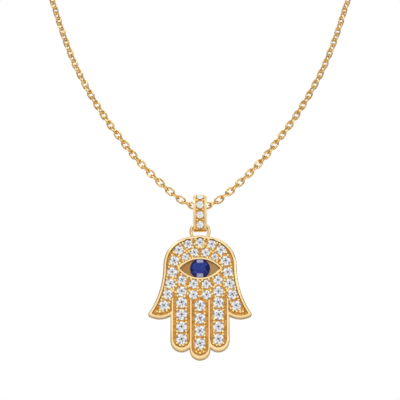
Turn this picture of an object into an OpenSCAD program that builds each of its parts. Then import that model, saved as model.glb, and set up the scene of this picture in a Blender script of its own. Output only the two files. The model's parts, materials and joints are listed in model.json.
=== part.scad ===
// Hamsa pendant set with white stones and a blue eye stone, hanging by its bail
// on a whole cable-chain necklace. The origin is the nape of the neck, where the
// clasp sits. The pendant faces -Y, and hangs below and in front of the origin.

/* [Palm] */
// Width across the palm at its waist, beside the eye
palm_w = 10.9; // [10.2:0.1:11.4]
// Radius of the arc along the top of the hand
dome_r = 8; // [7.5:0.25:10]
// Depth of the waist below the top of the hand
waist_drop = 4.5; // [4.3:0.05:4.8]
// Radius of the hollow curve that flares out to the thumb tips
flare_r = 13.1; // [12:0.1:15]
// Distance of the round thumb edge's centre from the middle
thumb_x = 6; // [5.8:0.05:6.3]
// Depth of that centre below the top of the hand
thumb_drop = 9.35; // [9.2:0.05:9.6]
// Radius of the round lower edge of each thumb
thumb_r = 3.2; // [3:0.05:3.4]
// Radius of the thumb's pointed tip
tip_r = 0.25; // [0.15:0.05:0.4]

/* [Fingers] */
// Distance from one finger's middle to the next
finger_pitch = 2.73; // [2.7:0.01:2.9]
// Depth of the palm, below which the walls between the fingers may start
wall_top = 9.45; // [9.3:0.05:9.6]
// Depth of the round end's centre on the two outer fingers
finger_drop = 15.85; // [15.75:0.05:17]
// Depth of the round end's centre on the middle finger
middle_drop = 17.2; // [17:0.1:18]

/* [Casting] */
// Thickness of the hand from front to back
hand_t = 1.5; // [1.4:0.05:2]
// Width of the raised rim
rim_w = 0.48; // [0.4:0.01:0.52]
// Width of the walls between the fingers
wall_w = 0.37; // [0.3:0.01:0.42]
// Width of the rim at the round ends of the fingers
tip_w = 0.65; // [0.5:0.05:0.7]
// Depth of the tray that the white stones sit in
tray_depth = 0.3; // [0.25:0.05:0.4]
// Radius of the bead prongs between the stones
bead_r = 0.135; // [0.11:0.005:0.15]
// Clearance between a stone and the metal round it
stone_gap = 0.03; // [0.02:0.01:0.05]

/* [Eye] */
// Length of the eye from tip to tip
eye_w = 6.84; // [6.5:0.02:7]
// Height of the eye
eye_h = 3.38; // [3.3:0.02:3.44]
// Width of the eye's bezel wall
eye_rim = 0.3; // [0.25:0.01:0.35]
// Depth of the eye's middle below the top of the hand
eye_drop = 5; // [4.95:0.05:5.1]
// Depth of the floor inside the eye
eye_depth = 0.45; // [0.4:0.05:0.5]
// Diameter of the blue stone
eye_stone_d = 3; // [2.8:0.05:3.1]
// Thickness of the bezel's lip over the edge of the blue stone
lip_t = 0.13; // [0.1:0.01:0.15]

/* [White stones] */
// Diameter of the stones in the fingers
finger_stone_d = 1.63; // [1.5:0.01:1.7]
// Distance from one finger stone to the next
finger_stone_pitch = 1.84; // [1.8:0.01:1.87]
// Diameter of the stones round the palm's rim
rim_stone_d = 1.5; // [1.4:0.02:1.56]

/* [Ring and bail] */
// Wire of the round ring on top of the hand
ring_wire = 0.48; // [0.4:0.02:0.5]
// Radius of that ring, to the middle of its wire
ring_r = 1.35; // [1.33:0.01:1.45]
// Depth of the hand's top edge below the middle of the ring's top wire
ring_hang = 2.05; // [2:0.05:2.3]
// Width of the bail
bail_w = 2.02; // [1.9:0.02:2.04]
// Outer radius of the bail's top bend
bail_top_r = 1.75; // [1.7:0.05:2]
// Outer radius of the bail's bottom bend
bail_low_r = 1.42; // [1.4:0.02:1.5]
// Inner radius of the top bend, round the chain
bail_chain_r = 1; // [0.95:0.05:1.05]
// Inner radius of the bottom bend, round the hand's ring
bail_ring_r = 0.97; // [0.95:0.01:1]
// Distance between the centres of the two bends
bail_drop = 2.5; // [2.4:0.05:3]
// How far the band's outside is set forward, which thickens its front
bail_forward = 0.12; // [0.05:0.01:0.15]
// Width of the channel between the bail's rails
channel_w = 1.26; // [1.2:0.02:1.3]
// Depth of that channel
channel_depth = 0.14; // [0.1:0.01:0.16]
// Diameter of the stones in the bail
bail_stone_d = 1.1; // [0.9:0.05:1.15]
// Distance between those stones, along the band
bail_stone_pitch = 1.53; // [1.45:0.01:1.6]

/* [Chain] */
// Diameter of the wire that the links are bent from
link_wire = 0.3; // [0.26:0.01:0.32]
// Outer width of a link
link_w = 1.16; // [1.13:0.01:1.2]
// Distance from one link's middle to the next
link_pitch = 1.04; // [1:0.01:1.06]
// Play between two links along the chain
link_gap = 0.14; // [0.1:0.01:0.16]
// Turn of the links about the chain, away from lying flat
link_roll = 20; // [0:1:30]
// Links on each side of the middle one that are modelled as links
side_links = 44; // [40:1:47]
// Diameter of the clasp
clasp_d = 2.4; // [2:0.1:3]
// Length of the clasp
clasp_l = 9; // [8:0.5:10]

/* [Hidden] */
GOLD = [0.88, 0.66, 0.32];
CLEAR = [0.9, 0.93, 0.97];
BLUE = [0.13, 0.2, 0.55];
$fn = 48;
eps = 0.02;
// How far a cutter reaches out of the metal that it cuts
over = 1;

// Half of the chain's route, as [x, y, z] from the point where the bail hangs.
// The first part follows the strands of the jewel, and the rest goes round the
// neck to the nape. The other half is its mirror image.
ROUTE = [
    [0, 0, 0], [0.9, 0, 0.1], [1.8, 0.02, 0.4], [2.7, 0.07, 0.95], [3.7, 0.16, 1.7],
    [6.4, 0.6, 4.2], [7.9, 1, 5.8], [9.4, 1.5, 7.5], [10.7, 2, 9.2], [11.9, 2.5, 10.9],
    [13.1, 3.1, 12.6], [15.2, 4.2, 15.9], [17.1, 5.3, 19.3], [18.8, 6.5, 22.8],
    [20.2, 7.7, 26.3], [21.4, 8.9, 29.8], [22.5, 10.2, 33.4], [24.4, 13, 39.5],
    [27, 17.4, 46], [30.6, 23.4, 52.4], [35, 31, 58.5], [39.6, 40.2, 64],
    [43.6, 51, 68.8], [46.2, 63, 72.8], [47, 75.4, 76.2], [45.6, 87.6, 79],
    [41.4, 98.6, 81.3], [34.2, 107.6, 83], [24.6, 114, 84.2], [12.8, 117.4, 84.8],
    [0, 118, 85]
];
NAPE = ROUTE[len(ROUTE) - 1];

// Stones along the palm's rim on one side, as
// [depth in palm lengths, gap to the rim, share of the rim stones' diameter].
// Where the gap is below zero, the stone's seat is cut into the rim.
RIM_ROW = [
    [0.137, -0.08, 0.89], [0.232, 0.05, 0.96], [0.404, 0.3, 1], [0.586, 0.11, 1],
    [0.771, 0.07, 1], [0.943, 0.11, 1], [1.12, 0.19, 1]
];
// The stone in the middle of the top, as [gap to the rim, share of the diameter]
TOP_STONE = [-0.115, 0.89];
// Stones beside the eye, as
// [above or below it, angle from the middle of its arc, gap to its bezel, diameter]
EYE_ROW = [
    [1, 9.5, 0.19, 1.27], [1, 26.6, 0.05, 1.08],
    [-1, 10.7, 0.07, 1.34], [-1, 31.5, 0.12, 1.38]
];
// Stones above the fingers, as [x in finger pitches, height over the wall tops, diameter]
LOW_ROW = [[0.362, 0.48, 1.38], [1, 1, 1.5]];
// Fingers, as [place, height of the lowest stone over the round end's centre, share of the pitch]
FINGERS = [[-1, 0.21, 1], [0, 0.885, 1.033], [1, 0.21, 1]];
// Depths of the beads on the middle line, in palm lengths
SPARE_BEADS = [0.873, 0.739];

// Shares of a stone's diameter
TABLE = 0.56;
CROWN = 0.15;
GIRDLE = 0.04;
PAVILION = 0.42;
// The blue stone and the bail's stones are cut shallower
SHALLOW = 0.3;
// Radius and height of the crown's break between its upper and lower facets
CROWN_BREAK = [0.8, 0.5];
// Main facets round a stone
FACETS = 8;
// Stones in each finger and in the bail
finger_stones = 4;
bail_stones = 4;
// Beads, as shares of their radius: how deep they sink into the tray, how far their
// middle stays off a wall, and half of their least distance from each other
bead_sink = 0.3;
bead_off = 0.1;
bead_apart = 1.1;
// Two stones share beads where they are nearer than this share of a bead's reach
bead_reach = 1.14;
// Angle between a shared bead and the line from its stone to the other one
bead_turn = 44;
// Between these two gaps to a wall, a bead would only graze it
bead_graze = [0.8, 1.15];

// Angle on the bail's top bend at which its first stone sits
bail_first = 48;
// How far the bail's channel runs past its first and its last beads
channel_past = [-0.03, 0.12];
// Height of the blue stone's crown where the lip crosses it, with some play
lip_play = 0.1;
// Angles of the beads below each finger's lowest stone
END_BEADS = [42, 76, 104, 138];
// Angles of the beads along the middle finger's end, and their distance from its edge
TIP_BEADS = [50, 90, 130];
tip_bead_in = 0.33;
bail_bead_r = 0.11;
bail_bead_side = 0.44;
// Size of the clasp's ends, as a share of its diameter, and their length
clasp_end = 0.5;
clasp_taper = 1;
butt_gap = 0.05;
tube_sides = 8;
tube_step = 4.1;
curve_steps = 10;
// Length and turn of an arc's steps, at most
arc_step = 0.5;
arc_turn = 10;
// Distance on the route over which its direction is taken, to each side
look = 0.2;
// Sides round a link's wire, and round a whole turn of its bends
wire_sides = 16;
turn_sides = 24;
// Least radius of the thumb's tip inside the rim
tip_inside = 0.1;

front_y = -hand_t / 2;
floor_y = front_y + tray_depth;
eye_floor_y = front_y + eye_depth;
palm_half = palm_w / 2;
// The shoulder is the arc that runs from the dome into the upright waist
shoulder_x = (pow(dome_r - waist_drop, 2) - pow(dome_r - palm_half, 2)) / (2 * (dome_r - palm_half));
shoulder_r = palm_half - shoulder_x;
shoulder_a = atan2(dome_r - waist_drop, shoulder_x);
SHOULDER = [shoulder_x, -waist_drop];
DOME = [0, -dome_r];
FLARE = [palm_half + flare_r, -waist_drop];
THUMB = [thumb_x, -thumb_drop];
// Half of the inner width of a finger
tray_r = (finger_pitch - wall_w) / 2;
// Distance of the fingers' outer face, and of the thumb's tray, from the middle
finger_side = finger_pitch + tray_r + rim_w;
wall_side = 1.5 * finger_pitch + wall_w / 2;
// The eye is the lens between two equal circles
eye_r = (pow(eye_w / 2, 2) + pow(eye_h / 2, 2)) / eye_h;
eye_shift = eye_r - eye_h / 2;
hand_top = -bail_drop - ring_hang;
eye_girdle_y = front_y + lip_t + GIRDLE * eye_stone_d + lip_play;
// The bail's sides lean by this angle between its two bends
bail_tilt = asin((bail_top_r - bail_low_r) / bail_drop);
bail_bend = (bail_first + bail_tilt) * PI / 180 * bail_top_r;
bail_side = bail_drop * cos(bail_tilt);
link_l = link_pitch + 2 * link_wire + link_gap;

PALM_HALF = concat(
    [for (row = RIM_ROW) rim_stone(row[0] * wall_top, row[1], row[2] * rim_stone_d)],
    [for (row = EYE_ROW) eye_row_stone(row[0], row[1], row[2], row[3])],
    [for (row = LOW_ROW) [row[0] * finger_pitch, row[1] - wall_top, row[2]]]
);
// Every stone of the tray is [x, z, diameter], with z from the top of the hand
PALM_STONES = concat(
    [[0, -rim_w - TOP_STONE[0] - TOP_STONE[1] * rim_stone_d / 2, TOP_STONE[1] * rim_stone_d]],
    [for (side = [-1, 1]) for (s = PALM_HALF) [side * s[0], s[1], s[2]]]
);
FINGER_STONES = [
    for (finger = FINGERS) for (i = [finger_stones - 1:-1:0])
        [finger[0] * finger_pitch, finger[1] - end_drop(finger[0]) + i * finger[2] * finger_stone_pitch,
            finger_stone_d]
];
BEADS = concat(
    palm_beads(),
    [for (finger = FINGERS) each finger_beads(finger[0])],
    [for (a = TIP_BEADS) [0, tip_w - wall_w - middle_drop] + polar(tray_r - tip_bead_in, -a)],
    [for (depth = SPARE_BEADS) [0, -depth * wall_top]]
);
CURVE = spline(ROUTE);
RUN = [for (i = 0, s = 0; i < len(CURVE);
    s = s + (i + 1 < len(CURVE) ? norm(CURVE[i + 1] - CURVE[i]) : 0), i = i + 1) s];
PLACES = [for (axis = [0:2]) [for (i = [0:len(RUN) - 1]) [RUN[i], CURVE[i][axis]]]];
run_total = RUN[len(RUN) - 1];
tube_from = side_links * link_pitch + link_l / 2 + butt_gap;
tube_to = run_total - clasp_l / 2 - butt_gap;

function two_digits(i) = i < 10 ? str("0", i) : str(i);
function end_drop(finger) = finger == 0 ? middle_drop : finger_drop;
function unit(v) = v / norm(v);
function polar(r, a) = r * [cos(a), sin(a)];
function arc(c, r, a, b) =
    let (n = ceil(abs(b - a) * max(1 / arc_turn, r * PI / 180 / arc_step)))
    [for (i = [0:n]) c + polar(r, a + (b - a) * i / n)];
function direction(a, b) = atan2(b[1] - a[1], b[0] - a[0]);
// Where two circles cross, on the left of the way from the first centre to the second
function crossing(p, rp, q, rq) =
    let (d = norm(q - p), a = (rp * rp - rq * rq + d * d) / (2 * d), h = sqrt(rp * rp - a * a),
        way = (q - p) / d)
    p + a * way + h * [-way[1], way[0]];

// Right half of the palm's outline from the top to an upright at end_x, moved inwards
// by inset: every arc keeps its centre
function palm_side(inset, end_x) =
    let (r_tip = max(tip_r - inset, tip_inside),
        tip = crossing(FLARE, flare_r + inset + r_tip, THUMB, thumb_r - inset - r_tip),
        a_flare = direction(FLARE, tip), a_thumb = direction(THUMB, tip),
        a_end = -acos((end_x - thumb_x) / (thumb_r - inset)))
    concat(
        arc(DOME, dome_r - inset, 90, shoulder_a),
        arc(SHOULDER, shoulder_r - inset, shoulder_a, 0),
        arc(FLARE, flare_r + inset, 180, a_flare + 360),
        arc(tip, r_tip, a_flare + 180, a_thumb),
        arc(THUMB, thumb_r - inset, a_thumb, a_end)
    );
// Lower edge of the right half of the hand, round the fingers
function finger_edge() =
    let (r = tray_r + rim_w, middle_r = tray_r + wall_w,
        a = -acos((middle_r - finger_pitch) / r))
    concat(
        arc([finger_pitch, -finger_drop], r, 0, a),
        arc([0, -middle_drop], middle_r, 0, -90)
    );
// The same edge inside the tray, in and out round the walls between the fingers
function tray_edge() = concat(
    wall_end(1.5 * finger_pitch),
    arc([finger_pitch, tip_w - rim_w - finger_drop], tray_r, 0, -180),
    wall_end(0.5 * finger_pitch),
    arc([0, tip_w - wall_w - middle_drop], tray_r, 0, -90)
);
// Round top end of the wall at x, which starts clear of the stones above it
function wall_end(x) =
    let (starts = [for (s = PALM_STONES)
            let (reach = (s[2] + wall_w) / 2 + 2 * stone_gap, across = abs(s[0] - x))
            if (across < reach) sqrt(reach * reach - across * across) - s[1]])
    arc([x, -max(concat(starts, [wall_top]))], wall_w / 2, 0, 180);

// A stone of the rim row, at a depth below the top of the hand
function rim_stone(drop, gap, d) =
    let (inset = rim_w + d / 2 + gap, rise = waist_drop - drop,
        on_dome = rise > (shoulder_r - inset) * sin(shoulder_a),
        x = rise < 0 ? FLARE[0] - sqrt(pow(flare_r + inset, 2) - rise * rise)
            : on_dome ? sqrt(pow(dome_r - inset, 2) - pow(dome_r - drop, 2))
            : shoulder_x + sqrt(pow(shoulder_r - inset, 2) - rise * rise))
    [x, -drop, d];
// A stone that stands on one of the eye's two arcs
function eye_row_stone(side, angle, gap, d) =
    let (r = eye_r + d / 2 + gap)
    [r * sin(angle), -eye_drop + side * (r * cos(angle) - eye_shift), d];

function eye_gap(p) =
    max([for (side = [-1, 1]) norm(p - [0, -eye_drop + side * eye_shift])]) - eye_r;
function edge_gap(p) =
    let (q = [abs(p[0]), p[1]])
    q[1] < -waist_drop ? min(norm(q - FLARE) - flare_r,
        q[1] < -thumb_drop ? thumb_r - norm(q - THUMB) : thumb_r)
    : direction(SHOULDER, q) > shoulder_a ? dome_r - norm(q - DOME)
    : shoulder_r - norm(q - SHOULDER);
function clears(p, stones) =
    min([for (s = stones) norm(p - [s[0], s[1]]) - s[2] / 2]) > bead_r + stone_gap - 0.001;
function grazes(gap) = gap > bead_graze[0] * bead_r && gap < bead_graze[1] * bead_r;
function on_palm(p) =
    edge_gap(p) > rim_w + bead_off * bead_r && !grazes(edge_gap(p) - rim_w)
    && eye_gap(p) > bead_off * bead_r
    && (p[1] > -wall_top + bead_r || abs(p[0]) > wall_side + bead_off * bead_r);
// A bead that would graze the eye's bezel, or the wall by the thumb, is pushed into it
function settled(p) =
    let (c = [0, (p[1] < -eye_drop ? eye_shift : -eye_shift) - eye_drop])
    grazes(eye_gap(p)) ? c + (eye_r + bead_graze[0] * bead_r) * unit(p - c)
    : p[1] < -wall_top && grazes(p[0] - wall_side) ? [wall_side + bead_graze[0] * bead_r, p[1]]
    : p;
// Place of a bead that stands by a stone, in the direction of an angle
function beside(stone, angle) =
    [stone[0], stone[1]] + polar(stone[2] / 2 + bead_r + stone_gap, angle);
// Places of beads that each stone has towards its neighbours, on both sides of the way there
function shared(stones) = [
    for (i = [0:len(stones) - 1]) for (j = [0:len(stones) - 1])
        let (p = stones[i], q = stones[j], reach = (p[2] + q[2]) / 2 + 2 * (bead_r + stone_gap))
        if (i != j && norm([q[0] - p[0], q[1] - p[1]]) < bead_reach * reach)
            for (side = [-1, 1]) beside(p, direction(p, q) + side * bead_turn)
];
// The spots that lie far enough from all that were kept before them
function thinned(spots, i = 0, kept = []) =
    i == len(spots) ? kept
    : let (near = [for (k = kept) if (norm(k - spots[i]) < 2 * bead_apart * bead_r) k])
        thinned(spots, i + 1, len(near) == 0 ? concat(kept, [spots[i]]) : kept);
function palm_beads() =
    let (stones = concat(PALM_STONES, FINGER_STONES),
        right = [for (p = shared(stones)) if (p[0] > bead_apart * bead_r) settled(p)],
        good = thinned([for (p = right) if (on_palm(p) && clears(p, stones)) p]))
    concat(good, [for (p = good) [-p[0], p[1]]]);
function finger_beads(finger) =
    let (stones = [for (s = FINGER_STONES) if (s[0] == finger * finger_pitch) s],
        last = finger_stones - 1)
    concat(
        [for (i = [0:last - 1]) for (side = [-1, 1]) beside(stones[i], -90 + side * bead_turn)],
        [for (i = [1:last]) for (side = [-1, 1]) beside(stones[i], 90 + side * bead_turn)],
        [for (a = END_BEADS) beside(stones[last], -a)]
    );

// A smooth curve through the route's points, its slopes weighted by their spacing
function slope(points, i) =
    let (last = len(points) - 1,
        before = i > 0 ? points[i - 1] : [-points[1][0], points[1][1], points[1][2]],
        after = i < last ? points[i + 1] : [-points[last - 1][0], points[last - 1][1], points[last - 1][2]],
        da = norm(points[i] - before), db = norm(after - points[i]))
    ((points[i] - before) / da * db + (after - points[i]) / db * da) / (da + db);
function hermite(a, b, ma, mb, t) =
    (2 * t * t * t - 3 * t * t + 1) * a + (t * t * t - 2 * t * t + t) * ma
    + (3 * t * t - 2 * t * t * t) * b + (t * t * t - t * t) * mb;
function spline(points) = [
    for (i = [0:len(points) - 2])
        let (a = points[i], b = points[i + 1], d = norm(b - a),
            ma = d * slope(points, i), mb = d * slope(points, i + 1))
        for (k = [0:curve_steps - 1]) hermite(a, b, ma, mb, k / curve_steps),
    points[len(points) - 1]
];
// Place on the route at a distance s from its middle, to the right where s is over 0
function route_at(s) =
    [sign(s) * lookup(abs(s), PLACES[0]), lookup(abs(s), PLACES[1]), lookup(abs(s), PLACES[2])];
// Frame on the route: along it, across it, and outwards from the neck's middle
function route_frame(s) =
    let (p = route_at(s), t = unit(route_at(s + look) - route_at(s - look)),
        out = [p[0], p[1] - NAPE[1] / 2, 0], n = unit(out - (out * t) * t))
    [t, cross(n, t), n, p];

// Lays its children on the route, with X along it and Z outwards
module on_route(s) {
    f = route_frame(s);
    multmatrix([for (row = [0:2]) [f[0][row], f[1][row], f[2][row], f[3][row]]]) children();
}
module at_bail() {
    translate(-NAPE) children();
}
module at_hand() {
    at_bail() translate([0, 0, hand_top]) children();
}
// Extrudes a front view from y = near to y = far
module slab(near, far) {
    translate([0, far, 0]) rotate([90, 0, 0]) linear_extrude(far - near) children();
}
// A polygon from the right half of a symmetric outline, whose arcs may share end points
module half_to_whole(points) {
    same = eps / 4;
    right = [for (i = [0:len(points) - 1])
        if (i == 0 || norm(points[i] - points[i - 1]) > same) points[i]];
    left = [for (i = [len(right) - 1:-1:0]) if (right[i][0] > same) [-right[i][0], right[i][1]]];
    polygon(concat(right, left));
}
module hand_outline() {
    half_to_whole(concat(palm_side(0, finger_side), finger_edge()));
}
module tray_outline() {
    difference() {
        half_to_whole(concat(palm_side(rim_w, wall_side), tray_edge()));
        eye_outline(0);
    }
}
module eye_outline(inset) {
    r = eye_r - inset;
    a = acos(eye_shift / r);
    side = arc([0, -eye_shift], r, 90 + a, 90 - a);
    translate([0, -eye_drop])
        polygon([for (way = [1, -1]) for (i = [0:len(side) - 2]) way * side[i]]);
}
// A cut stone with its table up: girdle at z = 0, FACETS main facets
module cut_stone(d, pavilion) {
    n = FACETS;
    r = d / 2;
    function ring(count, radius, z, turn) =
        [for (i = [0:count - 1]) let (a = 360 * (i + turn) / count) [radius * cos(a), radius * sin(a), z]];
    top = (GIRDLE + CROWN) * d;
    points = concat(
        ring(n, TABLE * r, top, 0.5),
        ring(n, CROWN_BREAK[0] * r, (GIRDLE + CROWN_BREAK[1] * CROWN) * d, 0),
        ring(2 * n, r, GIRDLE * d, 0),
        ring(2 * n, r, 0, 0),
        [[0, 0, -pavilion * d]]
    );
    mid = n;
    upper = 2 * n;
    lower = 4 * n;
    culet = 6 * n;
    polyhedron(points, concat(
        [[for (i = [n - 1:-1:0]) i]],
        [for (i = [0:n - 1]) let (j = (i + 1) % n) each [
            [i, j, mid + j],
            [i, mid + j, upper + 2 * i + 1],
            [i, upper + 2 * i + 1, mid + i],
            [mid + i, upper + 2 * i + 1, upper + 2 * i],
            [mid + j, upper + (2 * i + 2) % (2 * n), upper + 2 * i + 1]
        ]],
        [for (i = [0:2 * n - 1]) let (j = (i + 1) % (2 * n)) each [
            [upper + i, upper + j, lower + j],
            [upper + i, lower + j, lower + i],
            [lower + i, lower + j, culet]
        ]]
    ));
}
// The seat of a stone, sunk from z = 0, with a clearance all round. Its upright side
// is cut up to z = top.
module seat(d, pavilion, top = eps) {
    r = d / 2 + stone_gap;
    low = -pavilion * d - stone_gap;
    rotate_extrude() polygon([[0, top], [r, top], [r, 0], [stone_gap, low], [0, low]]);
}
module facing_front(x, y, z) {
    translate([x, y, z]) rotate([90, 0, 0]) children();
}

module hand_setting() {
    color(GOLD) at_hand() {
        difference() {
            union() {
                slab(front_y, hand_t / 2) hand_outline();
                facing_front(0, 0, ring_hang - ring_r)
                    rotate_extrude() translate([ring_r, 0]) circle(d = ring_wire);
            }
            slab(front_y - over, floor_y) tray_outline();
            slab(front_y - over, eye_floor_y) eye_outline(eye_rim);
            for (s = concat(PALM_STONES, FINGER_STONES))
                facing_front(s[0], floor_y, s[1]) seat(s[2], PAVILION, tray_depth + over);
            facing_front(0, eye_floor_y, -eye_drop)
                cylinder(h = eye_depth - lip_t, d = eye_stone_d + 2 * stone_gap);
            facing_front(0, eye_girdle_y, -eye_drop) seat(eye_stone_d, SHALLOW);
        }
        for (b = BEADS) translate([b[0], floor_y - bead_sink * bead_r, b[1]]) sphere(bead_r);
    }
}
module eye_stone() {
    color(BLUE) at_hand() facing_front(0, eye_girdle_y, -eye_drop) cut_stone(eye_stone_d, SHALLOW);
}
module tray_stone(s) {
    color(CLEAR) at_hand() facing_front(s[0], floor_y, s[1]) cut_stone(s[2], PAVILION);
}

// Place on the outside of the bail's front, at a distance s below its first stone,
// as [y, z, angle that the surface faces above the level]
function bail_spot(s) =
    s < bail_bend ? bend_spot(0, bail_top_r, bail_first - s / bail_top_r * 180 / PI)
    : s < bail_bend + bail_side
        ? bend_spot(0, bail_top_r, -bail_tilt) + (s - bail_bend) * [sin(bail_tilt), -cos(bail_tilt), 0]
    : bend_spot(-bail_drop, bail_low_r, -bail_tilt - (s - bail_bend - bail_side) / bail_low_r * 180 / PI);
function bend_spot(z, r, a) = [-bail_forward - r * cos(a), z + r * sin(a), a];

module on_bail(s, x = 0) {
    spot = bail_spot(s);
    translate([x, spot[0], spot[1]]) rotate([90 - spot[2], 0, 0])
        translate([0, 0, -channel_depth]) children();
}
// Side view of a band round two bends, as a closed outline
module bends(forward, r_top, r_low) {
    a = asin((r_top - r_low) / bail_drop);
    translate([-forward, 0]) polygon(concat(
        arc([0, 0], r_top, -a, 180 + a),
        arc([0, -bail_drop], r_low, 180 + a, 360 - a)
    ));
}
// Extrudes a side view across X, about the middle
module across(width) {
    translate([-width / 2, 0, 0]) rotate([90, 0, 90]) linear_extrude(width) children();
}
module channel_reach() {
    reach = 3 * bail_top_r;
    top = [-bail_forward, 0];
    low = [-bail_forward, -bail_drop];
    first = bail_spot(-bail_stone_pitch / 2 - channel_past[0]);
    last = bail_spot((bail_stones - 0.5) * bail_stone_pitch + channel_past[1]);
    polygon([top, top + polar(reach, 180 - first[2]), [-reach, 0], [-reach, -bail_drop],
        low + polar(reach, 180 - last[2]), low]);
}

module bail() {
    color(GOLD) at_bail() {
        difference() {
            across(bail_w) difference() {
                bends(bail_forward, bail_top_r, bail_low_r);
                bends(0, bail_chain_r, bail_ring_r);
            }
            across(channel_w) intersection() {
                difference() {
                    bends(bail_forward, bail_top_r + over, bail_low_r + over);
                    bends(bail_forward, bail_top_r - channel_depth, bail_low_r - channel_depth);
                }
                channel_reach();
            }
            for (i = [0:bail_stones - 1]) on_bail(i * bail_stone_pitch) seat(bail_stone_d, SHALLOW);
        }
        for (i = [0:bail_stones]) for (side = [-1, 1])
            on_bail((i - 0.5) * bail_stone_pitch, side * bail_bead_side) sphere(bail_bead_r);
    }
}
module bail_stone(i) {
    color(CLEAR) at_bail() on_bail((i - 1) * bail_stone_pitch) cut_stone(bail_stone_d, SHALLOW);
}

// One link of round wire, long in X and flat on Z
module link() {
    bend_r = (link_w - link_wire) / 2;
    bar = link_l - link_w;
    for (side = [-1, 1]) {
        translate([side * bar / 2, 0, 0]) rotate([0, 0, -90 * side])
            rotate_extrude(angle = 180, $fn = turn_sides)
                translate([bend_r, 0]) circle(d = link_wire, $fn = wire_sides);
        translate([-bar / 2, side * bend_r, 0]) rotate([0, 90, 0])
            cylinder(h = bar, d = link_wire, $fn = wire_sides);
    }
}
module chain_front() {
    color(GOLD) at_bail() for (i = [-side_links:side_links])
        on_route(i * link_pitch) rotate([link_roll + (abs(i) + 1) % 2 * 90, 0, 0]) link();
}
// A tube along the route, from one distance to another
module tube(from, to) {
    rings = ceil((to - from) / tube_step);
    points = [for (i = [0:rings]) let (f = route_frame(from + (to - from) * i / rings))
        for (j = [0:tube_sides - 1]) let (a = 360 * j / tube_sides)
            f[3] + link_w / 2 * (cos(a) * f[1] + sin(a) * f[2])];
    faces = [for (i = [0:rings - 1]) for (j = [0:tube_sides - 1])
        let (k = (j + 1) % tube_sides, a = i * tube_sides, b = a + tube_sides)
            [a + j, b + j, b + k, a + k]];
    polyhedron(points, concat(
        [[for (j = [0:tube_sides - 1]) j]], faces,
        [[for (j = [tube_sides - 1:-1:0]) rings * tube_sides + j]]
    ));
}
module chain_back() {
    color(GOLD) at_bail() {
        tube(tube_from, tube_to);
        tube(-tube_to, -tube_from);
    }
}
module clasp() {
    r = clasp_d / 2;
    color(GOLD) rotate([0, 90, 0]) rotate_extrude() polygon([
        [0, -clasp_l / 2], [r * clasp_end, -clasp_l / 2], [r, clasp_taper - clasp_l / 2],
        [r, clasp_l / 2 - clasp_taper], [r * clasp_end, clasp_l / 2], [0, clasp_l / 2]
    ]);
}

hand_setting();
eye_stone();
for (i = [1:len(PALM_STONES)])
    tray_stone(PALM_STONES[i - 1]);
for (i = [1:len(FINGER_STONES)])
    tray_stone(FINGER_STONES[i - 1]);
bail();
for (i = [1:bail_stones])
    bail_stone(i);
chain_front();
chain_back();
clasp();
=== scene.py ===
# %% [markdown]
# # Dressing a hamsa pendant
#
# The solid model already settles every place and size. This notebook gives it the
# finish of the real jewel: polished gold with rounded rims, white stones in bead
# settings, a deep blue stone in the eye, and a cable chain of real links.
#
# Everything is in metres and in the frame of the solid model, with its origin at the
# nape of the neck. Lengths are written in millimetres and multiplied by MM, because
# a jeweller thinks in millimetres.

# %% Load the solid model
import json
import math
import random

import bpy
import bmesh
from mathutils import Matrix, Vector


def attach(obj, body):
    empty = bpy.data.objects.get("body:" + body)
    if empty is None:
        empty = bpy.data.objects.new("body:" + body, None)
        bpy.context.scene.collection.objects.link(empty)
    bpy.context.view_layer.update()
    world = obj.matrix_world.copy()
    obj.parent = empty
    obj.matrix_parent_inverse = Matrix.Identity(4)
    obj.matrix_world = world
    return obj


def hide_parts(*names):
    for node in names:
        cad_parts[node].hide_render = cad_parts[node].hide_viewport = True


MM = 0.001
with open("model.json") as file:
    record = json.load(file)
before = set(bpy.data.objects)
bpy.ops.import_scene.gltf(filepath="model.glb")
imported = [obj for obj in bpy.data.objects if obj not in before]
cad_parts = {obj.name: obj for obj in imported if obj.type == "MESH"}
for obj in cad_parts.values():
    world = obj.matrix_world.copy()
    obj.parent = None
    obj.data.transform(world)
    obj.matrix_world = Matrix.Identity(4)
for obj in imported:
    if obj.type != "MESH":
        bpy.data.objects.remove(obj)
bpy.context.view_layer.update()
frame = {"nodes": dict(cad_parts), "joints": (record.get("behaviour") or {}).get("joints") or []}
hinges = {joint["name"]: Vector(joint["pos_m"]) for joint in frame["joints"]}
# The chain's lowest point, round which the bail swings
LOW = hinges["bail_swing"]
# The hand's top edge, and how far it lies below the place where the ring hangs
RING_HANG = 2.05
HAND_TOP = hinges["hand_swing"] - Vector((0, 0, RING_HANG * MM))
print("nodes:", len(frame["nodes"]), "hand top at", [round(c / MM, 2) for c in HAND_TOP])

# %% [markdown]
# ## The camera
#
# The strands of the chain spread and fade as they climb, and the undersides of the
# fingers show, so the photo was taken from a little below with a long lens. A long
# lens at a fixed distance keeps the proportions of such a small thing. Its focal
# length follows from how many millimetres one pixel of the photo covers.

# %% Camera at the photo's angle
PHOTO_WIDTH = 400
MM_PER_PIXEL = 0.15
DISTANCE = 450
ELEVATION = math.radians(-12)
# How far below the picture's middle the chain's lowest point lies, in pixels
LOW_BELOW_MIDDLE = 6.6
SENSOR = 36

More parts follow.
